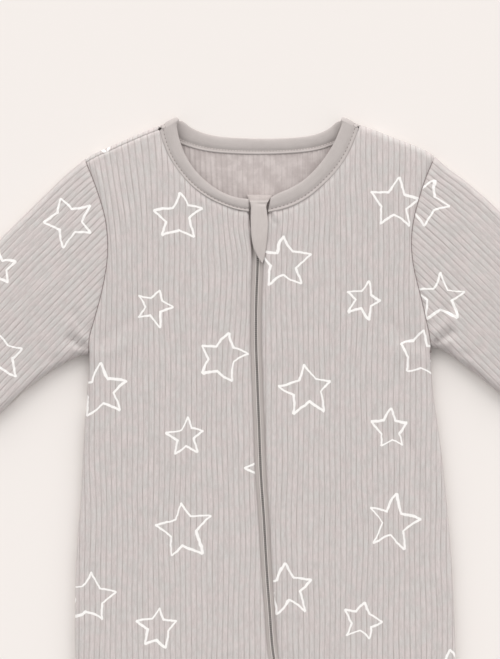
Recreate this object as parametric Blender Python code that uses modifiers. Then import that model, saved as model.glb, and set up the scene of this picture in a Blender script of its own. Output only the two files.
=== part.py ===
# A footed baby sleepsuit laid flat on its back: +X to the right, +Y to the neck, +Z up, in metres.
# Outline tables give each place as x and as "down", the distance below the highest points of the neck.
# Left and right are as seen from above. The back lies on z = 0 and the fronts lie on the back.
import math

import bmesh
import bpy
import numpy as np

NAME = "footed_baby_sleepsuit"
MM = 0.001

LENGTH = 640.0           # neck points to toes
WALL = 1.3               # ribbed knit
SEAM_GAP = 0.3           # clear space between pieces
ARMHOLE_GAP = 0.5        # the same at the curved armholes
LOFT = 3.2               # air between back and front inside the outline
EDGE_ROLL = 9.0          # width over which the front comes down to the outline
BODY_LINE = 4.5          # x of the line midway between the legs
CROTCH_DOWN = 425.0
HEEL_DOWN = 597.0
SHOULDER_TOP = 4.35      # height of the folded shoulder
SIDE_TOP = WALL + SEAM_GAP + WALL
TOP = WALL + LOFT + WALL

BAND_WALL = 1.6
BAND_FOLD_TOP = 4.6      # height of the band where it turns over at the neck points
BAND_FRONT_TOP = 6.2

ZIP_TOP_DOWN = 67.0
ZIP_END_DOWN = 577.0
TAPE_IN, TAPE_OUT = 1.3, 7.0
TAPE_LOW, TAPE_WALL = 2.6, 1.0
CHAIN_HALF, CHAIN_LOW, CHAIN_HIGH = 1.0, 2.7, 4.4
SLIDER_DOWN, SLIDER_LONG, SLIDER_WIDE = 76.0, 9.0, 6.6
PULL_DOWN, PULL_LONG, PULL_WIDE, PULL_WALL, PULL_LOW = 80.0, 12.0, 4.4, 0.8, 6.4
GUARD_WALL = 1.2

# down, left side, right side: the armholes, then the side seams
SIDES = [
    (31.5, -128.0, 127.5), (46.0, -122.0, 121.3), (62.0, -116.4, 116.2), (75.0, -112.9, 112.9),
    (88.5, -111.2, 111.1), (103.0, -111.2, 111.5), (117.0, -113.0, 114.0), (133.0, -116.4, 118.0),
    (150.0, -121.1, 121.9), (164.0, -124.8, 124.8), (176.0, -125.0, 125.5), (200.0, -126.2, 127.0),
    (223.0, -128.0, 130.2), (245.0, -129.2, 133.3), (267.0, -130.3, 135.7), (289.0, -131.7, 137.8),
    (311.0, -133.5, 139.8), (335.0, -134.8, 141.4), (358.0, -135.4, 142.5), (398.0, -135.1, 143.7),
    (425.0, -134.5, 143.5)]
# down, outer and inner edge of a leg, measured out from the body line
LEG = [
    (425.0, 139.0, 0.0), (432.0, 138.7, 3.0), (442.0, 138.0, 5.5), (460.0, 136.0, 9.0),
    (485.0, 132.8, 14.5), (510.0, 128.5, 19.0), (535.0, 124.0, 23.0), (560.0, 119.3, 26.5),
    (577.0, 116.2, 28.5), (590.0, 114.6, 29.2), (603.0, 116.0, 27.4), (612.0, 116.8, 26.2),
    (621.0, 115.0, 28.0), (629.0, 109.5, 33.5), (635.0, 102.5, 40.5), (640.0, 87.0, 55.0)]
# down, x of the middle of the zip, half of the gap between the folded front edges
ZIP = [
    (60.0, -1.0, 6.6), (71.0, -1.0, 6.7), (84.0, -1.1, 4.6), (104.5, -1.3, 4.25), (136.0, -2.4, 4.25),
    (163.0, -2.6, 4.25), (192.0, -1.7, 4.25), (229.0, -0.3, 4.25), (263.0, 1.0, 4.2),
    (294.0, 3.1, 4.1), (330.0, 5.1, 4.0), (360.0, 7.2, 3.9), (398.0, 10.6, 3.9), (425.0, 16.5, 3.9),
    (442.0, 22.8, 3.9), (460.0, 30.0, 3.9), (485.0, 39.6, 3.9), (510.0, 48.6, 3.9),
    (535.0, 56.6, 3.9), (560.0, 63.2, 3.7), (572.0, 66.0, 3.0), (581.0, 68.0, 0.15),
    (603.0, 72.4, 0.15), (640.0, 77.0, 0.15)]

# x and down along the outline of each shoulder, from the tip to the neck
SHOULDER_LEFT = [(-128.0, 31.5), (-114.0, 24.3), (-96.4, 16.3), (-73.2, 6.8)]
SHOULDER_RIGHT = [(127.5, 28.0), (111.0, 20.5), (93.0, 13.3), (73.0, 5.9)]
# how far below the outline each front shoulder seam lies
SHOULDER_TURN_LEFT, SHOULDER_TURN_RIGHT = 3.6, 3.2

# neckband: seam x, seam down, free edge x, free edge down
BAND_LEFT = [
    (-7.7, 70.7, -7.9, 61.0), (-17.0, 69.0, -15.5, 60.2), (-27.0, 65.5, -23.5, 57.8),
    (-37.5, 60.5, -32.5, 53.0), (-48.0, 53.2, -41.0, 46.3), (-57.5, 43.3, -48.8, 37.8),
    (-65.5, 32.0, -54.8, 27.8), (-70.8, 20.0, -58.9, 16.5), (-73.0, 11.5, -60.6, 7.0)]
BAND_RIGHT = [
    (5.8, 71.2, 8.2, 60.0), (15.5, 69.3, 14.0, 56.8), (26.0, 65.6, 23.0, 52.8),
    (37.0, 59.2, 32.0, 47.4), (47.0, 50.7, 40.4, 39.6), (56.0, 41.4, 47.8, 30.6),
    (63.5, 31.0, 53.4, 21.8), (68.8, 20.0, 57.6, 13.0), (72.5, 10.0, 60.2, 5.6)]
BAND_FOLD_LEFT = (-73.2, 6.8, -60.6, 0.0)
BAND_FOLD_RIGHT = (73.0, 5.9, 61.0, 0.0)
BAND_BACK = [
    (-66.5, 15.0, -55.3, 2.4), (-58.3, 20.4, -49.5, 6.0), (-45.0, 24.6, -38.2, 10.8),
    (-31.0, 26.8, -27.0, 13.5), (-15.0, 27.7, -14.3, 15.1), (0.0, 27.9, 0.0, 15.7),
    (15.0, 27.6, 14.3, 15.0), (31.0, 26.6, 27.0, 13.4), (45.0, 24.2, 38.5, 10.5),
    (58.0, 19.4, 50.0, 5.8), (66.3, 14.0, 56.0, 2.2)]

# sleeve edges: x and down
SLEEVE_LEFT_TOP = [
    (-129.0, 31.7), (-143.3, 43.8), (-160.9, 60.7), (-178.5, 78.2),
    (-190.2, 89.8), (-240.0, 142.5), (-289.0, 195.0)]
SLEEVE_LEFT_LOW = [
    (-126.2, 174.8), (-133.3, 176.6), (-150.9, 185.9), (-170.6, 200.3),
    (-190.2, 217.3), (-233.5, 249.6)]
SLEEVE_RIGHT_TOP = [
    (128.5, 28.8), (138.2, 37.9), (149.9, 46.3), (161.6, 56.1),
    (173.4, 66.8), (233.0, 126.0), (289.0, 187.0)]
SLEEVE_RIGHT_LOW = [
    (126.4, 169.4), (134.1, 171.4), (143.3, 177.4), (160.3, 189.8),
    (176.3, 203.0), (234.5, 242.5)]

# zip guard along its outer face, from inside the neck over the fold to the tip: down, z, left x, right x
GUARD_TURN_DOWN, GUARD_TURN_Z, GUARD_TURN_RADIUS = 60.1, 5.8, 2.9
GUARD_INSIDE = [(66.0, 2.9, -6.0, 6.0)]
GUARD_TURN_X = (-9.6, 10.0)
GUARD_OUTSIDE = [
    (62.6, 8.75, -7.4, 6.6), (65.4, 8.7, -6.2, 4.6), (71.0, 8.7, -6.4, 5.4), (78.0, 8.8, -6.5, 6.2),
    (88.5, 8.8, -6.0, 5.6), (96.5, 8.4, -4.5, 4.8), (103.0, 7.8, -1.7, 3.7), (107.8, 7.4, 1.6, 2.4)]

ARMHOLE_DOWN = [46.0, 62.0, 75.0, 88.5, 103.0, 117.0, 133.0, 150.0, 164.0]
UNDERARM_DOWN = 176.0
TORSO_DOWN = [200.0, 223.0, 245.0, 267.0, 289.0, 311.0, 335.0, 358.0, 380.0, 402.0, 425.0]
LEG_DOWN = [432.0, 442.0, 460.0, 485.0, 510.0, 535.0, 560.0, 577.0, 590.0, 603.0, 612.0, 621.0, 629.0, 635.0, 640.0]
SLEEVE_ROWS = 8
LAST_PART = 0.94         # share of a sleeve's width past which only its rolled edge follows
OUTER_DEPTH = 2.0        # faces this near a piece's top or bottom tell which way it faces

# how far each column of a front lies from its left edge to its right edge
CROTCH_SHARE = 0.947     # the left front's column that comes down to the crotch
LEFT_FRONT_SHARES = [0.0, 0.09, 0.18, 0.27, 0.36, 0.45, 0.54, 0.63, 0.72, 0.82, CROTCH_SHARE, 0.971, 1.0]
RIGHT_FRONT_SHARES = [0.0, 0.08, 0.17, 0.26, 0.36, 0.46, 0.55, 0.64, 0.73, 0.82, 0.91, 1.0]
STRIP_SHARES = [0.0, 0.45, 1.0]
SOLE_SHARES = [0.0, 0.16, 0.33, 0.5, 0.67, 0.84, 1.0]
# where the fronts' and the back's shoulder seams meet the neckband: x, down
FRONT_CORNER_LEFT, FRONT_CORNER_RIGHT = (-73.4, 12.2), (73.2, 10.6)
BACK_CORNER_LEFT, BACK_CORNER_RIGHT = (-74.0, 7.2), (73.8, 6.3)

RIB_COLOUR = (0.545, 0.512, 0.496)
JERSEY_COLOUR = (0.565, 0.525, 0.505)
TAPE_COLOUR = (0.47, 0.44, 0.42)
TEETH_COLOUR = (0.30, 0.28, 0.27)
METAL_COLOUR = (0.55, 0.54, 0.53)


def between(table, down, column):
    """Value of one column of a table at a distance down, on a smooth curve through its rows."""
    rows = np.array(table)
    x, y = rows[:, 0], rows[:, column]
    slope = np.gradient(y, x)
    i = int(np.clip(np.searchsorted(x, down) - 1, 0, len(x) - 2))
    step = x[i + 1] - x[i]
    t = min(max((down - x[i]) / step, 0.0), 1.0)
    return ((2 * t**3 - 3 * t**2 + 1) * y[i] + (t**3 - 2 * t**2 + t) * step * slope[i]
            + (3 * t**2 - 2 * t**3) * y[i + 1] + (t**3 - t**2) * step * slope[i + 1])


def along(points, fraction):
    """Point at a fraction of a polyline's length."""
    path = np.array(points, dtype=float)
    reach = np.concatenate([[0.0], np.cumsum(np.linalg.norm(np.diff(path, axis=0), axis=1))])
    return np.array([np.interp(fraction * reach[-1], reach, path[:, k]) for k in range(path.shape[1])])


def rise(distance):
    """0 at the outline to 1 once past the rolled edge, on a quarter circle."""
    t = min(max(distance / EDGE_ROLL, 0.0), 1.0)
    return math.sqrt(1.0 - (1.0 - t)**2)


def place(x, down, z):
    """A table's x, down and z as a point of the model."""
    return (x * MM, (LENGTH / 2 - down) * MM, z * MM)


def material(name, colour, roughness, metallic=0.0):
    made = bpy.data.materials.new(name)
    made.use_nodes = True
    shader = made.node_tree.nodes["Principled BSDF"]
    shader.inputs["Base Color"].default_value = (*colour, 1.0)
    shader.inputs["Roughness"].default_value = roughness
    shader.inputs["Metallic"].default_value = metallic
    return made


def sheet(name, grids, wall, finish, lies_under=False):
    """A piece of cloth from grids of points that share their common points, thickened inwards.

    The outer face looks up on the highest faces, or down on the lowest of a piece that lies under.
    """
    mesh = bpy.data.meshes.new(name)
    work = bmesh.new()
    known = {}

    def vertex(point):
        key = tuple(round(value, 4) for value in point)
        if key not in known:
            known[key] = work.verts.new(place(*point))
        return known[key]

    for grid in grids:
        for upper, lower in zip(grid, grid[1:]):
            for i in range(len(upper) - 1):
                ring = [vertex(p) for p in (upper[i], upper[i + 1], lower[i + 1], lower[i])]
                corners = list(dict.fromkeys(ring))
                if len(corners) > 2:
                    work.faces.new(corners)
    work.normal_update()
    heights = [vert.co.z for vert in work.verts]
    outward = 0.0
    for face in work.faces:
        z = face.calc_center_median().z
        if lies_under and z < min(heights) + OUTER_DEPTH * MM:
            outward -= face.normal.z * face.calc_area()
        if not lies_under and z > max(heights) - OUTER_DEPTH * MM:
            outward += face.normal.z * face.calc_area()
    if outward < 0:
        bmesh.ops.reverse_faces(work, faces=work.faces)
    work.to_mesh(mesh)
    work.free()
    piece = bpy.data.objects.new(name, mesh)
    solid = piece.modifiers.new("wall", "SOLIDIFY")
    solid.thickness = wall * MM
    solid.offset = -1.0
    mesh.materials.append(finish)
    collection.objects.link(piece)
    return piece


def torso_rows(top_line, left, right, height, shares, mid_shoulder):
    """Grid from a top line down to the crotch between two side functions.

    top_line is a list of x, down pairs, one for each column. left and right give x for a distance
    down, shares is how far each column lies from left to right, and height gives z for x and down.
    """
    first = top_line[mid_shoulder][1]
    levels = torso_levels(first)
    rows = []
    for level in levels:
        sunk = (level - first) / (CROTCH_DOWN - first)
        row = []
        for (top_x, top_down), share in zip(top_line, shares):
            down = top_down + sunk * (CROTCH_DOWN - top_down)
            plain = left(down) + share * (right(down) - left(down))
            start = left(top_down) + share * (right(top_down) - left(top_down))
            drift = top_x - start if 0.0 < share < 1.0 else 0.0
            x = plain + drift * (1.0 - sunk)**2
            row.append((x, down, height(x, down)))
        rows.append(row)
    return rows


def torso_levels(first):
    """Distances down of the rows at the side: spread over the armhole, then down the side seam."""
    return [first] + ARMHOLE_DOWN + [UNDERARM_DOWN] + TORSO_DOWN


def side_left(down):
    if down <= CROTCH_DOWN:
        return between(SIDES, down, 1)
    return BODY_LINE - between(LEG, down, 1)


def side_right(down):
    if down <= CROTCH_DOWN:
        return between(SIDES, down, 2)
    return BODY_LINE + between(LEG, down, 1)


def inseam_left(down):
    return BODY_LINE - between(LEG, down, 2)


def inseam_right(down):
    return BODY_LINE + between(LEG, down, 2)


def zip_half_gap(down):
    return float(np.interp(down, [row[0] for row in ZIP], [row[2] for row in ZIP]))


def zip_left(down):
    return between(ZIP, down, 1) - zip_half_gap(down)


def zip_right(down):
    return between(ZIP, down, 1) + zip_half_gap(down)


def armhole_lift(down):
    """1 along the armhole seam, which lies inside the outline, and 0 at its two ends."""
    return min(rise((down - 26.0) * 0.7), rise((UNDERARM_DOWN - down) * 0.7))


def front_height(x, down):
    """Height of the fronts' outer face above the torso."""
    side = min(x - side_left(down), side_right(down) - x)
    lift = max(rise(side), armhole_lift(down))
    outline = SHOULDER_LEFT + SHOULDER_RIGHT[::-1]
    below = down - np.interp(x, [p[0] for p in outline], [p[1] for p in outline])
    shoulder = SHOULDER_TOP + (TOP - SHOULDER_TOP) * rise((below - SHOULDER_TURN_RIGHT) * 0.6)
    return min(SIDE_TOP + (TOP - SIDE_TOP) * lift, shoulder)


def leg_height(x, down, outer, inner):
    """Height of the fronts' outer face above a leg or foot."""
    side = min(abs(x - outer(down)), abs(x - inner(down)))
    return SIDE_TOP + (TOP - SIDE_TOP) * min(rise(side), rise((LENGTH - down) * 1.2))


def leg_rows(start_row, left, right, shares, height, levels):
    """Rows of a leg, from a piece of the torso's last row down to the toe."""
    rows = [start_row]
    for down in levels:
        wide = right(down) - left(down)
        row = [(left(down) + share * wide, down) for share in shares]
        rows.append([(x, d, height(x, d)) for x, d in row])
    return rows


def spread(values):
    """Shares from 0 to 1 of a run of numbers."""
    low, high = values[0], values[-1]
    return [(value - low) / (high - low) for value in values]


def lowered(points, amount):
    return [(x, down + amount) for x, down in points]


def make_fronts(finish):
    # viewer's left front: shoulder from the tip, then the neck seam to the zip
    shoulder = lowered(SHOULDER_LEFT, SHOULDER_TURN_LEFT)
    neck = [(row[0], row[1] + SEAM_GAP) for row in reversed(BAND_LEFT[:-1])]
    middle = ((neck[-2][0] + neck[-1][0]) / 2, (neck[-2][1] + neck[-1][1]) / 2)
    top = shoulder[:-1] + [FRONT_CORNER_LEFT] + neck[:-1] + [middle, neck[-1]]
    rows = torso_rows(top, side_left, zip_left, front_height, LEFT_FRONT_SHARES, 0)
    split = LEFT_FRONT_SHARES.index(CROTCH_SHARE)
    crotch = rows[-1]
    crotch[split] = (BODY_LINE, CROTCH_DOWN, SIDE_TOP)
    leg_shares = spread([crotch[i][0] for i in range(split + 1)])
    leg = leg_rows(crotch[:split + 1], side_left, inseam_left, leg_shares,
                   lambda x, d: leg_height(x, d, side_left, inseam_left), LEG_DOWN)
    strip = leg_rows(crotch[split:], inseam_right, zip_left, STRIP_SHARES,
                     lambda x, d: leg_height(x, d, side_right, inseam_right), LEG_DOWN)
    sheet("front_left", [rows, leg, strip], WALL, finish)

    # viewer's right front: the neck seam from the zip, then the shoulder to the tip
    neck = [(row[0], row[1] + SEAM_GAP) for row in BAND_RIGHT[:-1]]
    shoulder = lowered(SHOULDER_RIGHT, SHOULDER_TURN_RIGHT)
    top = neck + [FRONT_CORNER_RIGHT] + list(reversed(shoulder[:-1]))
    rows = torso_rows(top, zip_right, side_right, front_height, RIGHT_FRONT_SHARES, len(top) - 1)
    leg = leg_rows(rows[-1], zip_right, side_right, RIGHT_FRONT_SHARES,
                   lambda x, d: leg_height(x, d, side_right, inseam_right), LEG_DOWN)
    sheet("front_right", [rows, leg], WALL, finish)


def shoulder_turn(shoulder, turn, tip, side):
    """Grid that carries the back's edge round the shoulder and over to the front seam."""
    radius = SHOULDER_TOP / 2
    steps = []
    for angle in (0.0, 45.0, 90.0, 135.0, 180.0):
        swing = math.radians(angle)
        steps.append((radius - radius * math.sin(swing), radius - radius * math.cos(swing)))
    steps.append((turn - SEAM_GAP, SHOULDER_TOP))
    grid = []
    for lower, z in steps:
        row = [(x, down + lower, z) for x, down in shoulder]
        tip_down = row[tip][1]
        row[tip] = (side(tip_down), tip_down, z)
        grid.append(row)
    return grid[::-1]


def on_the_surface(x, down):
    """Height of the back's and the soles' outer face."""
    return 0.0


def make_back(finish):
    radius = SHOULDER_TOP / 2
    left_shoulder = SHOULDER_LEFT[:-1] + [BACK_CORNER_LEFT]
    right_shoulder = [BACK_CORNER_RIGHT] + list(reversed(SHOULDER_RIGHT[:-1]))
    neck = [(row[0], row[1] + SEAM_GAP) for row in BAND_BACK]
    top = lowered(left_shoulder, radius) + neck + lowered(right_shoulder, radius)
    half = len(top) // 2
    shares = [0.5 * i / half for i in range(half)] + [0.5 + 0.5 * i / half for i in range(half + 1)]
    rows = torso_rows(top, side_left, side_right, on_the_surface, shares, 0)
    crotch = rows[-1]
    crotch[half] = (BODY_LINE, CROTCH_DOWN, 0.0)
    levels = [down for down in LEG_DOWN if down < HEEL_DOWN] + [HEEL_DOWN]
    leg_l = leg_rows(crotch[:half + 1], side_left, inseam_left,
                     spread([p[0] for p in crotch[:half + 1]]), on_the_surface, levels)
    leg_r = leg_rows(crotch[half:], inseam_right, side_right,
                     spread([p[0] for p in crotch[half:]]), on_the_surface, levels)
    turn_l = shoulder_turn(left_shoulder, SHOULDER_TURN_LEFT, 0, side_left)
    turn_r = shoulder_turn(right_shoulder, SHOULDER_TURN_RIGHT, -1, side_right)
    sheet("back", [rows, leg_l, leg_r, turn_l, turn_r], WALL, finish, lies_under=True)


def make_soles(finish):
    levels = [HEEL_DOWN + SEAM_GAP] + [down for down in LEG_DOWN if down > HEEL_DOWN]
    for name, left, right in (("sole_left", side_left, inseam_left), ("sole_right", inseam_right, side_right)):
        rows = leg_rows([], left, right, SOLE_SHARES, on_the_surface, levels)[1:]
        sheet(name, [rows], WALL, finish, lies_under=True)


def make_sleeve(name, top_edge, low_edge, side, column, finish):
    """A flattened tube from the armhole to the cuff, open at both ends."""
    radius = TOP / 2
    first = between(SIDES, SIDES[0][0], column)
    grid = []
    for row in range(SLEEVE_ROWS + 1):
        t = row / SLEEVE_ROWS
        high, low = along(top_edge, t), along(low_edge, t)
        width = np.linalg.norm(low - high)
        inset = radius / width
        seam_high, seam_low = top_edge[0][1], low_edge[0][1]
        parts = [(down - seam_high) / (seam_low - seam_high) for down in ARMHOLE_DOWN]
        parts = [inset] + [part for part in parts if part < LAST_PART] + [1.0 - inset]
        upper, lower = [], []
        for part in parts:
            point = high + (low - high) * part
            down_at_seam = seam_high + (seam_low - seam_high) * part
            seam_x = side(down_at_seam) + math.copysign(ARMHOLE_GAP, first)
            straight_x = top_edge[0][0] + (low_edge[0][0] - top_edge[0][0]) * part
            bend = (seam_x - straight_x) * (1.0 - t)**2
            upper.append((point[0] + bend, point[1], TOP))
            lower.append((point[0] + bend, point[1], 0.0))
        slant = radius * (1.0 - math.sin(math.radians(45.0))) / width
        edge_bend = math.copysign(SEAM_GAP, first) * (1.0 - t)
        ring = [(*(high + (low - high) * slant), radius * 1.707)] + upper
        ring.append((*(low + (high - low) * slant), radius * 1.707))
        ring.append((*low, radius))
        ring.append((*(low + (high - low) * slant), radius * 0.293))
        ring += list(reversed(lower))
        ring.append((*(high + (low - high) * slant), radius * 0.293))
        ring.append((*high, radius))
        ring.append(ring[0])
        corners = (0, len(upper) + 1, len(upper) + 2, len(upper) + 3, len(ring) - 3, len(ring) - 2, len(ring) - 1)
        grid.append([(p[0] + (edge_bend if i in corners else 0.0), p[1], p[2]) for i, p in enumerate(ring)])
    sheet(name, [grid], WALL, finish)


def make_neckband(finish):
    """One strip from zip end to zip end, turned over at the two neck points."""
    rows = []
    count = len(BAND_LEFT)

    def front_row(row, share):
        z = BAND_FRONT_TOP + (BAND_FOLD_TOP - BAND_FRONT_TOP) * share
        return strip_row(row, z)

    def strip_row(row, z):
        seam, free = np.array(row[:2]), np.array(row[2:])
        return [(*(seam + (free - seam) * part), z) for part in (0.0, 0.5, 1.0)]

    def fold_rows(row, front_to_back):
        radius = BAND_FOLD_TOP / 2
        seam, free = np.array(row[:2]), np.array(row[2:])
        edge = (free - seam) / np.linalg.norm(free - seam)
        out = np.array([edge[1], -edge[0]])
        if out[1] > 0:
            out = -out
        turned = []
        for angle in (20.0, 55.0, 90.0, 125.0, 160.0):
            swing = math.radians(angle if front_to_back else 180.0 - angle)
            shift = out * radius * (math.sin(swing) - 1.0)
            z = radius + radius * math.cos(swing)
            turned.append([(*(seam + (free - seam) * part + shift), z) for part in (0.0, 0.5, 1.0)])
        return turned

    for i, row in enumerate(BAND_LEFT):
        rows.append(front_row(row, (i / (count - 1))**2))
    rows += fold_rows(BAND_FOLD_LEFT, True)
    rows += [strip_row(row, 0.0) for row in BAND_BACK]
    rows += fold_rows(BAND_FOLD_RIGHT, False)
    for i, row in reversed(list(enumerate(BAND_RIGHT))):
        rows.append(front_row(row, (i / (count - 1))**2))
    sheet("neckband", [rows], BAND_WALL, finish)


def make_guard(finish):
    """The leaf: out of the neck, over the top of the zip and down to a point."""
    rows = list(GUARD_INSIDE)
    for angle in (-90.0, -135.0, 180.0, 135.0, 90.0):
        swing = math.radians(angle)
        down = GUARD_TURN_DOWN + GUARD_TURN_RADIUS * math.cos(swing)
        z = GUARD_TURN_Z + GUARD_TURN_RADIUS * math.sin(swing)
        rows.append((down, z, *GUARD_TURN_X))
    rows += GUARD_OUTSIDE
    parts = (0.0, 0.25, 0.5, 0.75, 1.0)
    grid = [[(left + (right - left) * part, down, z) for part in parts] for down, z, left, right in rows]
    sheet("zip_guard", [grid], GUARD_WALL, finish)


def zip_strip(name, left_off, right_off, z_top, wall, start, end, finish):
    """A strip along the zip between two distances from its middle."""
    levels = [start] + [row[0] for row in ZIP if start + 4 < row[0] < end - 2] + [end]
    grid = []
    for down in levels:
        middle = between(ZIP, down, 1)
        grid.append([(middle + left_off, down, z_top), (middle + right_off, down, z_top)])
    sheet(name, [grid], wall, finish)


def block(name, low, high, finish, bevel=0.0):
    """A box between two corners given as x, down and z."""
    bpy.ops.mesh.primitive_cube_add(size=1.0)
    made = bpy.context.active_object
    made.name = name
    a, b = np.array(place(*low)), np.array(place(*high))
    made.scale = np.abs(b - a)
    made.location = (a + b) / 2
    bpy.ops.object.transform_apply(location=False, rotation=False, scale=True)
    made.data.materials.append(finish)
    for owner in list(made.users_collection):
        owner.objects.unlink(made)
    collection.objects.link(made)
    if bevel:
        edge = made.modifiers.new("edge", "BEVEL")
        edge.width = bevel * MM
        edge.segments = 2
    return made


def make_zip(tape, teeth, metal):
    top, end = ZIP_TOP_DOWN, ZIP_END_DOWN
    high = TAPE_LOW + TAPE_WALL
    zip_strip("zip_tape_left", -TAPE_OUT, -TAPE_IN, high, TAPE_WALL, top, end, tape)
    zip_strip("zip_tape_right", TAPE_IN, TAPE_OUT, high, TAPE_WALL, top, end, tape)
    chain_start = SLIDER_DOWN + 2.8
    chain_wall = CHAIN_HIGH - CHAIN_LOW
    zip_strip("zip_chain", -CHAIN_HALF, CHAIN_HALF, CHAIN_HIGH, chain_wall, chain_start, end - 4.0, teeth)
    zip_strip("zip_bottom_stop", -CHAIN_HALF, CHAIN_HALF, CHAIN_HIGH, chain_wall, end - 3.7, end, metal)

    # slider: an upper and a lower plate joined by the wedge at the neck end
    middle = between(ZIP, SLIDER_DOWN, 1)
    low_down, high_down = SLIDER_DOWN, SLIDER_DOWN + SLIDER_LONG
    half = SLIDER_WIDE / 2
    upper = block("zip_slider", (middle - half, low_down, 4.7), (middle + half, high_down, 6.0), metal)
    lower = block("slider_lower_plate", (middle - half, low_down, 1.65), (middle + half, high_down, 2.3), metal)
    wedge = block("slider_wedge", (middle - 0.9, low_down + 0.2, 1.9), (middle + 0.9, low_down + 2.4, 5.0), metal)
    for part in (lower, wedge):
        joined = upper.modifiers.new("join", "BOOLEAN")
        joined.operation = "UNION"
        joined.object = part
        part.hide_render = True
        part.display_type = "WIRE"
        collection.objects.unlink(part)
        cutters.objects.link(part)
    pull_low = PULL_LOW + PULL_WALL
    block("zip_pull", (middle - PULL_WIDE / 2, PULL_DOWN, PULL_LOW),
          (middle + PULL_WIDE / 2, PULL_DOWN + PULL_LONG, pull_low), metal, 0.25)


for old in list(bpy.data.objects):
    bpy.data.objects.remove(old, do_unlink=True)
collection = bpy.data.collections.new(NAME)
cutters = bpy.data.collections.new("cutters")
bpy.context.scene.collection.children.link(collection)
bpy.context.scene.collection.children.link(cutters)

rib = material("ribbed_knit", RIB_COLOUR, 0.9)
jersey = material("plain_jersey", JERSEY_COLOUR, 0.9)
woven = material("zip_tape", TAPE_COLOUR, 0.8)
plastic = material("zip_teeth", TEETH_COLOUR, 0.5)
metal = material("slider_metal", METAL_COLOUR, 0.4, 1.0)

make_back(rib)
make_fronts(rib)
make_soles(jersey)
make_sleeve("sleeve_left", SLEEVE_LEFT_TOP, SLEEVE_LEFT_LOW, side_left, 1, rib)
make_sleeve("sleeve_right", SLEEVE_RIGHT_TOP, SLEEVE_RIGHT_LOW, side_right, 2, rib)
make_neckband(jersey)
make_guard(jersey)
make_zip(woven, plastic, metal)
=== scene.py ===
import math

import bmesh
import bpy
import numpy as np
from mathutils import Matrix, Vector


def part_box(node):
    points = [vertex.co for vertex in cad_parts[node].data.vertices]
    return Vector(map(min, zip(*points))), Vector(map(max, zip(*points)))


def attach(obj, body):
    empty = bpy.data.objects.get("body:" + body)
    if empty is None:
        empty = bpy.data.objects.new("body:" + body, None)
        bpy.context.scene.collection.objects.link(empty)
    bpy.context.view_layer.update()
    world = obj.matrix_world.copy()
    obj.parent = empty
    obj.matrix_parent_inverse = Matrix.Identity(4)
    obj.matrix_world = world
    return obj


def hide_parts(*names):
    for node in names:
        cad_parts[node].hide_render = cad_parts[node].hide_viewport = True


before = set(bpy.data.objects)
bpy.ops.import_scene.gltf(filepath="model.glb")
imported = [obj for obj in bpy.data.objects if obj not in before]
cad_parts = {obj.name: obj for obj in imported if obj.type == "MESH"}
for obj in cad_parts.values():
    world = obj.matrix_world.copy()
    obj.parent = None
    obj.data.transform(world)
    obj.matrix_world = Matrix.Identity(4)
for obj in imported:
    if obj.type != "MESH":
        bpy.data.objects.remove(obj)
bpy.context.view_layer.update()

mm = 0.001

# the garment's own sizes in mm: x to the right, down from the highest points of the neck
suit = dict(length=640.0, bodyLine=4.5, armTop=31.5, armLow=176.0, yoke=118.0, crotch=425.0, heel=597.0,
            toe=620.0, wall=1.25, roll=5.0, puff=1.3, ribPitch=3.9, ribDepth=0.36, rowStep=4.3)
loft = 2*suit["roll"]      # level of the front's cloth where it lies flat

sides = [     # down, left side, right side
    (31.5, -128.0, 127.5), (46.0, -122.0, 121.3), (62.0, -116.4, 116.2), (75.0, -112.9, 112.9),
    (88.5, -111.2, 111.1), (103.0, -111.2, 111.5), (117.0, -113.0, 114.0), (133.0, -116.4, 118.0),
    (150.0, -121.1, 121.9), (164.0, -124.8, 124.8), (176.0, -125.0, 125.5), (200.0, -126.2, 127.0),
    (223.0, -128.0, 130.2), (245.0, -129.2, 133.3), (267.0, -130.3, 135.7), (289.0, -131.7, 137.8),
    (311.0, -133.5, 139.8), (335.0, -134.8, 141.4), (358.0, -135.4, 142.5), (398.0, -135.1, 143.7),
    (425.0, -134.5, 143.5)]
legs = [      # down, outer and inner edge, measured out from the body line
    (425.0, 139.0, 0.0), (432.0, 138.7, 3.0), (442.0, 138.0, 5.5), (460.0, 136.0, 9.0),
    (485.0, 132.8, 14.5), (510.0, 128.5, 19.0), (535.0, 124.0, 23.0), (560.0, 119.3, 26.5),
    (577.0, 116.2, 28.5), (590.0, 114.6, 29.2), (603.0, 116.0, 27.4), (612.0, 116.8, 26.2),
    (621.0, 115.0, 28.0), (629.0, 109.5, 33.5), (635.0, 102.5, 40.5), (640.0, 87.0, 55.0)]
zipLine = [   # down, middle of the zip, half of the gap between the folded front edges
    (60.0, -1.0, 6.6), (71.0, -1.0, 6.7), (84.0, -1.1, 4.6), (104.5, -1.3, 4.25), (136.0, -2.4, 4.25),
    (163.0, -2.6, 4.25), (192.0, -1.7, 4.25), (229.0, -0.3, 4.25), (263.0, 1.0, 4.2),
    (294.0, 3.1, 4.1), (330.0, 5.1, 4.0), (360.0, 7.2, 3.9), (398.0, 10.6, 3.9), (425.0, 16.5, 3.9),
    (442.0, 22.8, 3.9), (460.0, 30.0, 3.9), (485.0, 39.6, 3.9), (510.0, 48.6, 3.9),
    (535.0, 56.6, 3.9), (560.0, 63.2, 3.7), (572.0, 66.0, 3.0), (581.0, 68.0, 0.15),
    (603.0, 72.4, 0.15), (640.0, 77.0, 0.15)]

# x and down along the shoulders
shoulderLeft = [(-128.0, 31.5), (-119.8, 26.8), (-108.1, 21.6), (-96.4, 16.3), (-84.7, 11.3), (-73.2, 6.8)]
shoulderRight = [(73.0, 5.9), (85.4, 10.4), (97.1, 15.0), (108.9, 19.5), (120.6, 24.5), (127.5, 28.6)]
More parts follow.
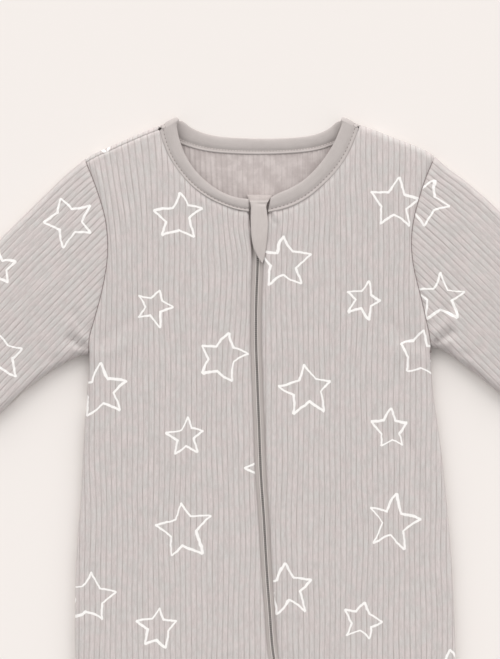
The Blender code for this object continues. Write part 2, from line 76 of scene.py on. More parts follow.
# how far the back comes over the left shoulder to the front, and from where to where
shoulderTurn = dict(reach=3.3, outer=-127.8, inner=-73.6, seamEnd=-73.0)

# neckband: seam x, seam down, free edge x, free edge down
bandLeft = [
    (-7.7, 70.7, -7.9, 61.0), (-17.0, 69.0, -15.5, 60.2), (-27.0, 65.5, -23.5, 57.8),
    (-37.5, 60.5, -32.5, 53.0), (-48.0, 53.2, -41.0, 46.3), (-57.5, 43.3, -48.8, 37.8),
    (-65.5, 32.0, -54.8, 27.8), (-70.8, 20.0, -58.9, 16.5), (-73.0, 11.5, -60.6, 7.0)]
bandRight = [
    (5.8, 71.2, 8.2, 60.0), (15.5, 69.3, 14.0, 56.8), (26.0, 65.6, 23.0, 52.8),
    (37.0, 59.2, 32.0, 47.4), (47.0, 50.7, 40.4, 39.6), (56.0, 41.4, 47.8, 30.6),
    (63.5, 31.0, 53.4, 21.8), (68.8, 20.0, 57.6, 13.0), (72.5, 10.0, 60.2, 5.6)]
bandFoldLeft = (-73.2, 6.8, -60.6, 0.0)
bandFoldRight = (73.0, 5.9, 61.0, 0.0)
bandBack = [
    (-66.5, 15.0, -56.4, 3.2), (-58.3, 20.2, -49.5, 8.3), (-45.0, 24.4, -39.5, 12.4),
    (-31.0, 26.7, -27.7, 14.7), (-15.0, 27.7, -14.3, 15.6), (0.0, 27.9, 0.0, 16.0),
    (15.0, 27.6, 14.3, 15.9), (31.0, 26.6, 27.7, 15.1), (45.0, 24.2, 39.6, 13.3),
    (58.0, 19.4, 49.4, 9.6), (66.3, 14.0, 57.0, 3.8)]

# both edges of each sleeve, from the armhole to the cuff
sleeveLeft = dict(
    top=[(-128.6, 31.6), (-143.3, 43.8), (-160.9, 60.7), (-178.5, 78.2), (-190.2, 89.8), (-240.0, 142.5),
         (-289.0, 195.0)],
    low=[(-126.2, 174.8), (-133.3, 176.6), (-150.9, 185.9), (-170.6, 200.3), (-190.2, 217.3),
         (-233.5, 249.6)])
sleeveRight = dict(
    top=[(128.1, 28.8), (138.2, 37.9), (149.9, 46.3), (161.6, 56.1), (173.4, 66.8), (233.0, 126.0),
         (289.0, 187.0)],
    low=[(126.4, 169.4), (134.1, 171.4), (143.3, 177.4), (160.3, 189.8), (176.3, 203.0), (234.5, 242.5)])


def toWorld(x, down, z):
    # metres, with the middle of the garment's length at the origin
    return x*mm, (suit["length"]/2 - down)*mm, z*mm


def addObject(name, data):
    made = bpy.data.objects.new(name, data)
    bpy.context.scene.collection.objects.link(made)
    return made


def near(distance, width):
    # 0 at a seam to 1 a little way from it
    t = np.clip(distance / width, 0.0, 1.0)
    return t*t*(3.0 - 2.0*t)


def reachAlong(points):
    # distance travelled along a path at each of its points
    return np.concatenate([[0.0], np.cumsum(np.linalg.norm(np.diff(points, axis=0), axis=1))])


def through(rows, where, column):
    # smooth curve through one column of a table
    rows = np.asarray(rows, float)
    x, y = rows[:, 0], rows[:, column]
    slope = np.gradient(y, x)
    i = np.clip(np.searchsorted(x, where) - 1, 0, len(x) - 2)
    step = x[i + 1] - x[i]
    t = np.clip((where - x[i]) / step, 0.0, 1.0)
    return ((2*t**3 - 3*t**2 + 1)*y[i] + (t**3 - 2*t**2 + t)*step*slope[i]
            + (3*t**2 - 2*t**3)*y[i + 1] + (t**3 - t**2)*step*slope[i + 1])


def splinePath(points, perSpan):
    # Catmull-Rom curve through the rows of a table, every column alike
    p = np.asarray(points, float)
    p = np.vstack([2*p[0] - p[1], p, 2*p[-1] - p[-2]])
    out = []
    for i in range(1, len(p) - 2):
        for k in range(perSpan):
            t = k / perSpan
            out.append(0.5*(2*p[i] + (p[i + 1] - p[i - 1])*t
                            + (2*p[i - 1] - 5*p[i] + 4*p[i + 1] - p[i + 2])*t*t
                            + (3*p[i] - p[i - 1] - 3*p[i + 1] + p[i + 2])*t**3))
    out.append(p[-2])
    return np.array(out)


def sideX(down, column):
    leg = suit["bodyLine"] + (-1 if column == 1 else 1)*through(legs, down, 1)
    return np.where(down <= suit["crotch"], through(sides, down, column), leg)


def inseamX(down, side):
    return suit["bodyLine"] + side*through(legs, np.maximum(down, suit["crotch"]), 2)


def zipX(down, side):
    table = np.asarray(zipLine)
    return through(zipLine, down, 1) + side*np.interp(down, table[:, 0], table[:, 2])


def outlineRuns():
    # outline seen from above, in runs that leave out the open cuffs and the neck
    torso = np.arange(suit["armLow"], suit["crotch"] + 0.1, 1.5)
    legDown = np.concatenate([np.arange(suit["crotch"], suit["toe"], 1.5),
                              np.arange(suit["toe"], suit["length"] + 0.01, 0.5)])
    runs = [np.array([bandFoldLeft[2:], bandFoldLeft[:2]]), np.array(shoulderLeft), np.array(shoulderRight),
            np.array([bandFoldRight[:2], bandFoldRight[2:]])]
    for sleeve in (sleeveLeft, sleeveRight):
        runs += [splinePath(sleeve["top"], 8), splinePath(sleeve["low"], 8)]
    for column, side in ((1, -1), (2, 1)):
        runs.append(np.stack([sideX(torso, column), torso], 1))
        outer = np.stack([sideX(legDown, column), legDown], 1)
        inner = np.stack([inseamX(legDown, side), legDown], 1)
        runs.append(np.vstack([outer, inner[::-1]]))
    return runs


def distanceTo(runs, x, down):
    # distance to the nearest of several runs of points, 0 for what lies on one
    best = np.full(np.shape(x), 1e6)
    for run in runs:
        for (ax, ay), (bx, by) in zip(run[:-1], run[1:]):
            dx, dy = bx - ax, by - ay
            size = max(dx*dx + dy*dy, 1e-9)
            t = np.clip(((x - ax)*dx + (down - ay)*dy) / size, 0.0, 1.0)
            best = np.minimum(best, (x - ax - t*dx)**2 + (down - ay - t*dy)**2)
    far = np.sqrt(best)
    return np.where(far < 0.06, 0.0, far)


outline = outlineRuns()
armDown = np.arange(suit["armTop"], suit["armLow"] + 0.1, 2.0)
armholes = [np.stack([sideX(armDown, column), armDown], 1) for column in (1, 2)]

# soft troughs and ridges: x, down, x, down, half width, height
creases = dict(
    front=[(22.0, 332.0, 17.0, 398.0, 2.6, -0.9), (27.5, 325.0, 23.5, 392.0, 3.2, 0.7),
           (110.0, 238.0, 118.0, 288.0, 4.0, -0.7), (104.0, 250.0, 113.0, 300.0, 4.5, 0.6),
           (8.5, 73.0, 11.5, 79.0, 1.6, -1.2), (12.0, 72.0, 16.0, 84.0, 2.6, 0.5),
           (-118.0, 166.0, -92.0, 150.0, 4.5, -0.6), (-121.0, 176.0, -96.0, 168.0, 5.0, 0.6),
           (118.0, 168.0, 96.0, 152.0, 4.5, -0.7), (122.0, 178.0, 98.0, 172.0, 5.0, 0.6),
           (-70.0, 250.0, -66.0, 330.0, 8.0, -0.35), (60.0, 300.0, 66.0, 380.0, 8.0, -0.35),
           (-30.0, 418.0, -8.0, 436.0, 5.0, -1.0), (-40.0, 430.0, -14.0, 452.0, 6.0, 0.8),
           (38.0, 420.0, 62.0, 446.0, 6.0, -0.9), (50.0, 412.0, 80.0, 436.0, 7.0, 0.7),
           (-96.0, 580.0, -44.0, 586.0, 4.0, -1.1), (-92.0, 592.0, -46.0, 594.0, 4.0, 0.8),
           (-88.0, 566.0, -52.0, 571.0, 4.5, -0.6), (84.0, 583.0, 108.0, 580.0, 4.0, -1.0),
           (44.0, 588.0, 62.0, 592.0, 4.0, -0.8), (86.0, 594.0, 110.0, 592.0, 4.0, 0.8)],
    back=[(-60.0, 250.0, 20.0, 262.0, 7.0, 0.5), (30.0, 300.0, 90.0, 290.0, 6.0, 0.5),
          (-30.0, 416.0, -8.0, 440.0, 5.0, 0.9), (20.0, 416.0, 44.0, 444.0, 5.0, 0.8)],
    sleeve=[(-128.0, 170.0, -139.0, 162.5, 1.8, -2.8), (-130.0, 174.5, -137.0, 170.0, 2.4, 1.5),
            (-127.5, 163.0, -139.0, 150.0, 2.2, 0.9), (-127.0, 158.0, -136.0, 144.0, 2.0, -0.9),
            (-134.0, 178.0, -152.0, 178.0, 1.8, -0.8), (-150.0, 60.0, -158.0, 76.0, 5.0, -0.4),
            (-205.0, 150.0, -222.0, 178.0, 6.0, -0.6), (-214.0, 142.0, -232.0, 168.0, 6.0, 0.5),
            (-150.0, 120.0, -178.0, 148.0, 7.0, 0.4), (-232.0, 188.0, -252.0, 204.0, 5.0, -0.5),
            (128.5, 165.5, 140.0, 157.5, 1.8, -3.0), (131.0, 170.0, 139.0, 165.5, 2.4, 1.6),
            (128.5, 158.0, 140.0, 147.0, 2.2, 0.9), (128.0, 153.0, 137.0, 141.0, 2.0, -0.9),
            (136.0, 174.5, 154.0, 175.0, 1.8, -0.9), (152.0, 58.0, 160.0, 74.0, 5.0, -0.4),
            (206.0, 140.0, 222.0, 168.0, 6.0, -0.6), (214.0, 132.0, 230.0, 160.0, 6.0, 0.5),
            (150.0, 112.0, 180.0, 142.0, 7.0, 0.4), (232.0, 180.0, 252.0, 196.0, 5.0, -0.5)])


def creaseHeight(rows, x, down):
    total = np.zeros(np.shape(x))
    for ax, ay, bx, by, width, height in rows:
        dx, dy = bx - ax, by - ay
        size = dx*dx + dy*dy
        t = ((x - ax)*dx + (down - ay)*dy) / size
        past = np.maximum(np.maximum(-t, t - 1.0), 0.0)*math.sqrt(size)
        off = np.abs((x - ax)*dy - (down - ay)*dx) / math.sqrt(size)
        fade = np.clip(1.0 - past / (width*3.0), 0.0, 1.0)
        total += height*np.exp(-(off / width)**2)*fade*fade
    return total


def rolled(distance):
    # 0 at the outline to 1 where the cloth lies level, on a quarter circle
    t = np.clip(distance / suit["roll"], 0.0, 1.0)
    return np.sqrt(np.maximum(1.0 - (1.0 - t)**2, 0.0))


footLook = dict(out=71.0, width=34.0, down=614.0, length=24.0, rise=3.2)
creaseRim = 4.5      # creases die away over this distance from the outline


def topHeight(x, down, which):
    # the upper face: rolled over at the outline, full in the middle and over the feet, sunk at the armholes
    edge = distanceTo(outline, x, down)
    seam = distanceTo(armholes, x, down)
    z = suit["roll"]*(1.0 + rolled(edge)) + suit["puff"]*(1.0 - np.exp(-edge / 22.0))
    z += creaseHeight(creases[which], x, down)*near(edge, creaseRim)
    across = (np.abs(x - suit["bodyLine"]) - footLook["out"]) / footLook["width"]
    foot = np.exp(-across**2 - ((down - footLook["down"]) / footLook["length"])**2)
    z += footLook["rise"]*foot*rolled(edge / 5.0)
    return z - 0.75*np.exp(-(seam / 1.7)**2) + 0.3*np.exp(-((seam - 4.0) / 2.2)**2)


def underHeight(x, down, which):
    edge = distanceTo(outline, x, down)
    z = suit["roll"]*(1.0 - rolled(edge))
    return z + np.maximum(creaseHeight(creases[which], x, down), 0.0)*near(edge, creaseRim)


ribPhases = np.array([0.0, 0.17, 0.5, 0.83])
ribShape = np.array([-1.0, 0.0, 0.25, 0.0])       # furrow, shoulder, crest, shoulder


def ribColumns(start, low, high):
    # column places across the ribs and the rib height at each, with a furrow at start
    first = math.floor((low - start) / suit["ribPitch"])
    last = math.ceil((high - start) / suit["ribPitch"])
    at, height = [], []
    for k in range(first, last + 1):
        for phase, shape in zip(ribPhases, ribShape):
            at.append(start + suit["ribPitch"]*(k + phase))
            height.append(shape*suit["ribDepth"])
    return np.array(at), np.array(height)


def sway(u, down):
    # the ribs wander a little, but not on the body line; they lean at the left shoulder and beside the zip
    turn = (u - suit["bodyLine"]) / 15.0
    lean = -9.0*np.exp(-((u + 102.0) / 34.0)**2)*np.clip(1.0 - down / suit["yoke"], 0.0, 1.0)**2
    beside = np.exp(-((u + 22.0) / 15.0)**2)*np.exp(-((down - 130.0) / 90.0)**2)
    lean += 3.0*beside*np.cos((down - 80.0) / 58.0)
    lean *= np.clip((suit["bodyLine"] - u) / 8.0, 0.0, 1.0)
    slow = 0.7*np.sin(down / 31.0 + 1.1)*np.sin(turn)
    return lean + slow + 0.4*np.sin(down / 13.0 + turn*0.6)*np.sin(turn*1.7)


def gridQuads(rows, columns, offset):
    # corner numbers of every face of a lattice
    r, c = np.meshgrid(np.arange(rows - 1), np.arange(columns - 1), indexing="ij")
    a = (r*columns + c).ravel() + offset
    return np.stack([a, a + columns, a + columns + 1, a + 1], 1)


def clothMesh(name, grids, materials):
    # grids: list of (points, flat places, faces up); points that meet are welded and empty faces dropped
    points = np.vstack([grid[0].reshape(-1, 3) for grid in grids])
    flats = np.vstack([grid[1].reshape(-1, 2) for grid in grids])*mm
    quads, offset = [], 0
    for place, flat, up in grids:
        rows, columns = place.shape[:2]
        found = gridQuads(rows, columns, offset)
        quads.append(found if up else found[:, ::-1])
        offset += rows*columns
    keys, inverse = np.unique(np.round(points, 4), axis=0, return_inverse=True)
    inverse = inverse.ravel()
    made = {}      # two slivers on the same corners close each other, and both go
    for quad in np.vstack(quads):
        face = {}
        for index in quad:
            face.setdefault(int(inverse[index]), index)
        if len(face) > 2 and made.pop(frozenset(face), None) is None:
            made[frozenset(face)] = face
    corners = np.array([index for face in made.values() for index in face.values()])
    used = np.unique(inverse[corners])
    fresh = np.zeros(len(keys), int)
    fresh[used] = np.arange(len(used))
    faces = [fresh[list(face)].tolist() for face in made.values()]
    mesh = bpy.data.meshes.new(name)
    mesh.from_pydata(np.stack(toWorld(*keys[used].T), 1).tolist(), [], faces)
    uv = flats[corners]
    mesh.uv_layers.new(name="flat").data.foreach_set("uv", uv.ravel())
    mesh.shade_smooth()
    for finish in materials:
        mesh.materials.append(finish)
    flatArea, at = 0.0, 0
    for face in faces:
        x, y = uv[at:at + len(face)].T
        flatArea += 0.5*abs(np.dot(x, np.roll(y, 1)) - np.dot(y, np.roll(x, 1)))
        at += len(face)
    return addObject(name, mesh), flatArea


def thicken(piece, wall, insideSlot=0):
    # the cloth gets its wall, inwards; insideSlot counts from the outer face's material to the inner one's
    solid = piece.modifiers.new("wall", "SOLIDIFY")
    solid.thickness = wall*mm
    solid.offset = -1.0
    solid.material_offset = insideSlot
    solid.material_offset_rim = 0
    bakeModifiers(piece)


def bakeModifiers(piece):
    # the evaluated shape becomes the object's own plain mesh
    graph = bpy.context.evaluated_depsgraph_get()
    plain = bpy.data.meshes.new_from_object(piece.evaluated_get(graph))
    old = piece.data
    piece.modifiers.clear()
    piece.data = plain
    plain.name = piece.name
    if isinstance(old, bpy.types.Mesh):
        bpy.data.meshes.remove(old)


def bodyGrid(levels, columns, heights, low, high, top, z, up, ribSign=1.0, calm=None):
    # lattice of rib columns and rows; points outside the panel are moved on to its edge
    u, level = np.meshgrid(columns, levels)
    rib = np.broadcast_to(heights, u.shape)
    drift = sway(u, level)
    x = u + drift
    for _ in range(14):      # the edges and the sloping rows settle on each other
        start = top(x)
        down = np.where(level < suit["yoke"], start + (suit["yoke"] - start)*(level / suit["yoke"]), level)
        left, right = low(down), high(down)
        x = np.where(u + drift < left + 0.4, left, np.where(u + drift > right - 0.4, right, u + drift))
    fade = near(distanceTo(outline, x, down), 3.0)*near(distanceTo(armholes, x, down), 2.4)
    if calm is not None:
        fade = fade*calm(x, down)
    height = z(x, down) + ribSign*rib*fade
    if ribSign < 0:
        height = np.maximum(height, 0.0)
    return np.stack([x, down, height], -1), np.stack([x - drift, -down], -1), up


def levelRows(last):
    # rows of every body panel: close together at the top edge, at the crotch and at the toes
    yoke, crotch = suit["yoke"], suit["crotch"]
    rows = [0.0, 0.8, 2.0, 3.6, 5.6, 8.6] + list(np.linspace(12.6, yoke, 26))
    rows += list(np.linspace(yoke, crotch, int((crotch - yoke) / suit["rowStep"])))[1:]
    rows += list(np.linspace(crotch, suit["heel"], int((suit["heel"] - crotch) / suit["rowStep"])))[1:]
    rows += list(np.linspace(suit["heel"], 622.0, 7))[1:]
    rows += [625.0, 628.0, 630.5, 633.0, 635.0, 636.5, 637.7, 638.7, 639.5, suit["length"]]
    return np.array([row for row in rows if row <= last])


def edgeLine(*runs):
    # distance down of an edge as a function of x, smooth along each run and with a corner between runs
    path = np.vstack([splinePath(run, 6) for run in runs])
    order = np.argsort(path[:, 0], kind="stable")
    return lambda x: np.interp(x, path[order, 0], path[order, 1])


# materials
def newGroup(name, inputs, outputs):
    # an input without a value is a vector; every output is a number
    group = bpy.data.node_groups.new(name, "ShaderNodeTree")
    for label, value in inputs.items():
        kind = "NodeSocketVector" if value is None else "NodeSocketFloat"
        socket = group.interface.new_socket(name=label, in_out="INPUT", socket_type=kind)
        if value is not None:
            socket.default_value = value
    for label in outputs:
        group.interface.new_socket(name=label, in_out="OUTPUT", socket_type="NodeSocketFloat")
    return group, group.nodes.new("NodeGroupInput"), group.nodes.new("NodeGroupOutput")


def mathNode(tree, operation, first, second=None, third=None):
    node = tree.nodes.new("ShaderNodeMath")
    node.operation = operation
    for i, value in enumerate((first, second, third)):
        if value is None:
            continue
        if isinstance(value, (int, float)):
            node.inputs[i].default_value = value
        else:
            tree.links.new(value, node.inputs[i])
    return node.outputs[0]


def times(tree, first, second):
    return mathNode(tree, "MULTIPLY", first, second)


def plus(tree, first, second):
    return mathNode(tree, "ADD", first, second)


def minus(tree, first, second):
    return mathNode(tree, "SUBTRACT", first, second)


def ramp(tree, value, low, high, smooth=True, start=0.0, end=1.0):
    node = tree.nodes.new("ShaderNodeMapRange")
    node.interpolation_type = "SMOOTHSTEP" if smooth else "LINEAR"
    tree.links.new(value, node.inputs["Value"])
    node.inputs["From Min"].default_value = low
    node.inputs["From Max"].default_value = high
    node.inputs["To Min"].default_value = start
    node.inputs["To Max"].default_value = end
    return node.outputs["Result"]


def noise(tree, vector, scale, detail=2.0, roughness=0.5):
    node = tree.nodes.new("ShaderNodeTexNoise")
    node.inputs["Scale"].default_value = scale
    node.inputs["Detail"].default_value = detail
    node.inputs["Roughness"].default_value = roughness
    if vector is not None:
        tree.links.new(vector, node.inputs["Vector"])
    return node


def mixColour(tree, factor, first, second, blend="MIX"):
    node = tree.nodes.new("ShaderNodeMix")
    node.data_type = "RGBA"
    node.blend_type = blend
    for socket, value in ((node.inputs[0], factor), (node.inputs[6], first), (node.inputs[7], second)):
        if isinstance(value, (int, float)):
            socket.default_value = value
        elif isinstance(value, tuple):
            socket.default_value = (*value, 1.0)
        else:
            tree.links.new(value, socket)
    return node.outputs[2]


def starGroup():
    # one hand-drawn outline star: 1 on the line, 0 off it; sizes in mm, repeated over the tile
    group, inside, out = newGroup(
        "starOutline",
        dict(Vector=None, Across=0.0, Along=0.0, Radius=18.0, Turn=0.0, Notch=0.5, Squash=1.0, Seed=0.0,
             Line=0.78, tileAcross=149.5, tileAlong=233.0),
        ["Mask"])
    get = inside.outputs
    split = group.nodes.new("ShaderNodeSeparateXYZ")
    group.links.new(get["Vector"], split.inputs[0])
    x = minus(group, times(group, split.outputs[0], 1000.0), get["Across"])
    y = minus(group, times(group, split.outputs[1], 1000.0), get["Along"])
    half, less = times(group, get["tileAcross"], 0.5), times(group, get["tileAcross"], -0.5)
    x = mathNode(group, "WRAP", x, half, less)
    half, less = times(group, get["tileAlong"], 0.5), times(group, get["tileAlong"], -0.5)
    y = mathNode(group, "WRAP", y, half, less)
    # two sizes of hand wobble
    place = group.nodes.new("ShaderNodeCombineXYZ")
    group.links.new(x, place.inputs[0])
    group.links.new(y, place.inputs[1])
    group.links.new(times(group, get["Seed"], 37.0), place.inputs[2])
    slow = noise(group, place.outputs[0], 0.055, 0.0)
    fine = noise(group, place.outputs[0], 0.28, 1.0)
    for wobble, reach in ((slow, 7.0), (fine, 1.1)):
        parts = group.nodes.new("ShaderNodeSeparateColor")
        group.links.new(wobble.outputs["Color"], parts.inputs[0])
        x = plus(group, x, times(group, minus(group, parts.outputs[0], 0.5), reach))
        y = plus(group, y, times(group, minus(group, parts.outputs[1], 0.5), reach))
    y = times(group, y, get["Squash"])
    # fold the plane into one tenth of the star
    angle = minus(group, mathNode(group, "ARCTAN2", x, y), get["Turn"])
    fold = mathNode(group, "ABSOLUTE", mathNode(group, "WRAP", angle, math.pi/5, -math.pi/5))
    reach = mathNode(group, "SQRT", plus(group, times(group, x, x), times(group, y, y)))
    px = times(group, reach, mathNode(group, "COSINE", fold))
    py = times(group, reach, mathNode(group, "SINE", fold))
    # nearest point of the straight edge from the tip to the notch
    notch = times(group, get["Radius"], get["Notch"])
    ex = minus(group, times(group, notch, math.cos(math.pi/5)), get["Radius"])
    ey = times(group, notch, math.sin(math.pi/5))
    fromTip = minus(group, px, get["Radius"])
    along = plus(group, times(group, fromTip, ex), times(group, py, ey))
    size = plus(group, times(group, ex, ex), times(group, ey, ey))
    share = mathNode(group, "DIVIDE", along, size)
    share = mathNode(group, "MINIMUM", mathNode(group, "MAXIMUM", share, 0.04), 1.0)
    dx = minus(group, fromTip, times(group, share, ex))
    dy = minus(group, py, times(group, share, ey))
    off = mathNode(group, "SQRT", plus(group, times(group, dx, dx), times(group, dy, dy)))
    # line width swells and thins
    pen = times(group, get["Line"], plus(group, times(group, slow.outputs[0], 0.6), 0.7))
    mask = minus(group, 1.0, ramp(group, minus(group, off, pen), -0.22, 0.22))
    group.links.new(mask, out.inputs["Mask"])
    return group


def knitGroup():
    # ribbed knit: mask for painted shade in the rib furrows, stitch height and mottling from the flat places
    # in metres
    group, inside, out = newGroup("ribbedKnit", dict(Vector=None, Start=0.0, Pitch=3.9),
                                  ["Furrow", "Height", "Mottle", "Tint"])
    get = inside.outputs
    split = group.nodes.new("ShaderNodeSeparateXYZ")
    group.links.new(get["Vector"], split.inputs[0])
    across = minus(group, times(group, split.outputs[0], 1000.0), get["Start"])
    along = times(group, split.outputs[1], 1000.0)
    # 0 in the furrow, 0.5 on the crest
    phase = mathNode(group, "PINGPONG", mathNode(group, "DIVIDE", across, get["Pitch"]), 0.5)
    # 1 in the furrow between ribs, where painted shade darkens the colour
    furrowShade = minus(group, 1.0, ramp(group, phase, 0.02, 0.17))
    # two columns of V stitches on each rib
    column = mathNode(group, "PINGPONG", mathNode(group, "DIVIDE", across, get["Pitch"]), 0.25)
    slant = times(group, column, 9.0)
    slope = plus(group, along, times(group, slant, 0.35))
    stitch = mathNode(group, "SINE", times(group, slope, 2*math.pi/1.15))
    spine = ramp(group, column, 0.0, 0.05)
    loft = times(group, plus(group, times(group, stitch, 0.35), 0.65), spine)
    long = group.nodes.new("ShaderNodeMapping")
    long.inputs["Scale"].default_value = (1.0, 0.16, 1.0)
    group.links.new(get["Vector"], long.inputs["Vector"])
    streak = noise(group, long.outputs[0], 330.0, 3.0, 0.6)
    thin = noise(group, long.outputs[0], 1150.0, 2.0, 0.6)
    furrowShade = times(group, furrowShade, ramp(group, streak.outputs[0], 0.32, 0.66, False, 0.2, 1.3))
    cloud = noise(group, get["Vector"], 95.0, 3.0, 0.6)
    fuzz = noise(group, get["Vector"], 1900.0, 2.0, 0.7)
    height = plus(group, times(group, loft, 0.5), times(group, fuzz.outputs[0], 0.5))
    mottle = plus(group, times(group, streak.outputs[0], 0.35), times(group, fuzz.outputs[0], 0.3))
    mottle = plus(group, mottle, times(group, thin.outputs[0], 0.35))
    group.links.new(furrowShade, out.inputs["Furrow"])
    group.links.new(height, out.inputs["Height"])
    group.links.new(mottle, out.inputs["Mottle"])
    group.links.new(cloud.outputs[0], out.inputs["Tint"])
    return group


def newMaterial(name, roughness):
    made = bpy.data.materials.new(name)
    made.use_nodes = True
    shader = made.node_tree.nodes["Principled BSDF"]
    shader.inputs["Roughness"].default_value = roughness
    return made, made.node_tree, shader


def addBump(tree, shader, height, strength, distance):
    bump = tree.nodes.new("ShaderNodeBump")
    bump.inputs["Strength"].default_value = strength
    bump.inputs["Distance"].default_value = distance
    tree.links.new(height, bump.inputs["Height"])
    tree.links.new(bump.outputs[0], shader.inputs["Normal"])


# furrow: colour of the painted shade in the rib furrows, also the dark end of the random mottle
knitLook = dict(wale=(0.648, 0.590, 0.580), waleCool=(0.606, 0.582, 0.568), furrowShade=(0.400, 0.345, 0.335),
                ink=(0.95, 0.93, 0.915), sheen=0.2, sheenRoughness=0.6)
starInputs = ("Across", "Along", "Radius", "Turn", "Notch", "Squash", "Seed", "tileAlong")


def flatPlace(tree):
    # a piece's own flat layout, in metres
    place = tree.nodes.new("ShaderNodeUVMap")
    place.uv_map = "flat"
    return place.outputs[0]


def placeKnit(tree, pitch, start=0.0):
    place = flatPlace(tree)
    knit = tree.nodes.new("ShaderNodeGroup")
    knit.node_tree = knitNodes
    knit.inputs["Start"].default_value = start
    knit.inputs["Pitch"].default_value = pitch
    tree.links.new(place, knit.inputs["Vector"])
    return place, knit


def addSheen(shader):
    shader.inputs["Sheen Weight"].default_value = knitLook["sheen"]
    shader.inputs["Sheen Roughness"].default_value = knitLook["sheenRoughness"]


def knitMaterial(name, start, stars):
    # stars: rows with a value for each star input
    made, tree, shader = newMaterial(name, 0.88)
    place, knit = placeKnit(tree, suit["ribPitch"], start)
    tint = ramp(tree, knit.outputs["Tint"], 0.35, 0.65)
    colour = mixColour(tree, tint, knitLook["wale"], knitLook["waleCool"])
    shade = ramp(tree, knit.outputs["Mottle"], 0.38, 0.62, False, 0.5, -0.12)
    colour = mixColour(tree, shade, colour, knitLook["furrowShade"])
    # painted shade in the rib furrows
    colour = mixColour(tree, times(tree, knit.outputs["Furrow"], 0.75), colour, knitLook["furrowShade"])
    mask = None
    for row in stars:
        star = tree.nodes.new("ShaderNodeGroup")
        star.node_tree = starNodes
        for label, value in zip(starInputs, row):
            star.inputs[label].default_value = value
        tree.links.new(place, star.inputs["Vector"])
        mask = star.outputs[0] if mask is None else mathNode(tree, "MAXIMUM", mask, star.outputs[0])
    if mask is not None:
        worn = ramp(tree, knit.outputs["Mottle"], 0.25, 0.5, False, 0.8, 1.0)
        ink = times(tree, mask, worn)
        colour = mixColour(tree, ink, colour, knitLook["ink"])
    tree.links.new(colour, shader.inputs["Base Color"])
    addSheen(shader)
    addBump(tree, shader, knit.outputs["Height"], 0.5, 0.0005)
    return made


def jerseyMaterial(name, colour, dark, pitch=1.5, lines=0.12, cloudy=0.22):
    # smooth side of a fine single knit
    made, tree, shader = newMaterial(name, 0.88)
    place, knit = placeKnit(tree, pitch)
    mixed = mixColour(tree, ramp(tree, knit.outputs["Mottle"], 0.36, 0.64, False, 0.35, 0.0), colour, dark)
    mixed = mixColour(tree, ramp(tree, knit.outputs["Tint"], 0.36, 0.62, True, 0.0, cloudy), mixed, dark)
    # lines: strength of the painted shade in the furrows between wales
    mixed = mixColour(tree, times(tree, knit.outputs["Furrow"], lines), mixed, dark)
    tree.links.new(mixed, shader.inputs["Base Color"])
    addSheen(shader)
    addBump(tree, shader, knit.outputs["Height"], 0.35, 0.0003)
    return made


def plainMaterial(name, colour, dark, roughness, scale, metallic=0.0, bump=0.2):
    made, tree, shader = newMaterial(name, roughness)
    place = tree.nodes.new("ShaderNodeTexCoord")
    grain = noise(tree, place.outputs["Object"], scale, 3.0, 0.6)
    tree.links.new(mixColour(tree, grain.outputs[0], colour, dark), shader.inputs["Base Color"])
    shader.inputs["Metallic"].default_value = metallic
    addBump(tree, shader, grain.outputs[0], bump, 0.0002)
    return made


starNodes = starGroup()
knitNodes = knitGroup()
ribStart = suit["bodyLine"]

# print charts in mm: place across and down, radius, turn, notch, squash, seed, length of the repeat
once, twice = 466.0, 233.0      # how often a star comes on a panel
leftStars = [
    (-58.3, 73.8, 18.2, 0.0, 0.47, 1.02, 1.0, once), (-77.3, 140.5, 14.2, 0.35, 0.48, 0.98, 2.0, once),
    (-26.8, 176.7, 18.4, 0.2, 0.5, 0.97, 3.0, 250.0), (-115.4, 200.8, 20.3, -0.06, 0.48, 1.0, 4.0, twice),
    (-54.6, 235.6, 14.2, 0.03, 0.48, 0.98, 5.0, twice), (-55.5, 302.5, 20.8, -0.1, 0.48, 0.98, 6.0, once),
    (-75.1, 375.0, 14.8, 0.08, 0.48, 0.97, 7.0, once), (-125.0, 352.6, 20.0, 0.05, 0.5, 1.0, 8.0, once),
    (5.0, 257.0, 15.0, -0.3, 0.48, 1.0, 9.0, once)]
rightStars = [
    (99.3, 64.6, 18.6, 0.08, 0.47, 1.0, 11.0, once), (75.1, 135.3, 14.2, 0.25, 0.48, 1.0, 12.0, once),
    (117.7, 174.0, 18.0, 0.1, 0.5, 1.0, 13.0, once), (34.1, 200.8, 19.6, -0.1, 0.48, 0.98, 14.0, twice),
    (94.9, 229.0, 14.2, 0.0, 0.48, 0.98, 15.0, twice), (97.1, 297.6, 20.8, 0.22, 0.48, 0.99, 16.0, once),
    (74.4, 369.6, 14.6, 0.27, 0.48, 1.0, 17.0, once), (21.0, 346.7, 20.0, -0.1, 0.48, 1.0, 18.0, once),
    (18.4, 107.6, 19.4, 0.0, 0.48, 1.0, 19.0, once), (141.0, 411.0, 19.0, -0.15, 0.5, 1.0, 20.0, once)]
backStars = [
    (-58.3, 73.8, 18.2, 0.0, 0.47, 1.02, 1.0, twice), (-77.3, 140.5, 14.2, 0.16, 0.48, 0.98, 2.0, twice),
    (-26.8, 176.7, 18.4, 0.2, 0.5, 0.97, 3.0, twice), (-115.4, 200.8, 20.3, -0.06, 0.48, 1.0, 4.0, twice),
    (-54.6, 235.6, 14.2, 0.03, 0.48, 0.98, 5.0, twice), (-125.0, 352.6, 20.0, 0.05, 0.5, 1.0, 8.0, twice),
    (-112.0, 37.0, 18.0, 0.1, 0.48, 1.0, 21.0, once)]
print("materials: node groups ready")


# body panels
shoulderLine = edgeLine(shoulderLeft, shoulderRight)
bandSeams = [splinePath([row[:2] for row in rows], 6) for rows in (bandLeft, bandRight)]


def seamDip(x, down):
    # cloth pulled down into the neck seam and the left shoulder seam
    neck = distanceTo(bandSeams, x, down)
    below = down - shoulderLine(x)
    dip = 0.75*np.exp(-(neck / 2.2)**2)
    shoulder = 0.75*np.exp(-((below - shoulderTurn["reach"]) / 1.1)**2)
    return dip + np.where(x < shoulderTurn["seamEnd"], shoulder, 0.0)


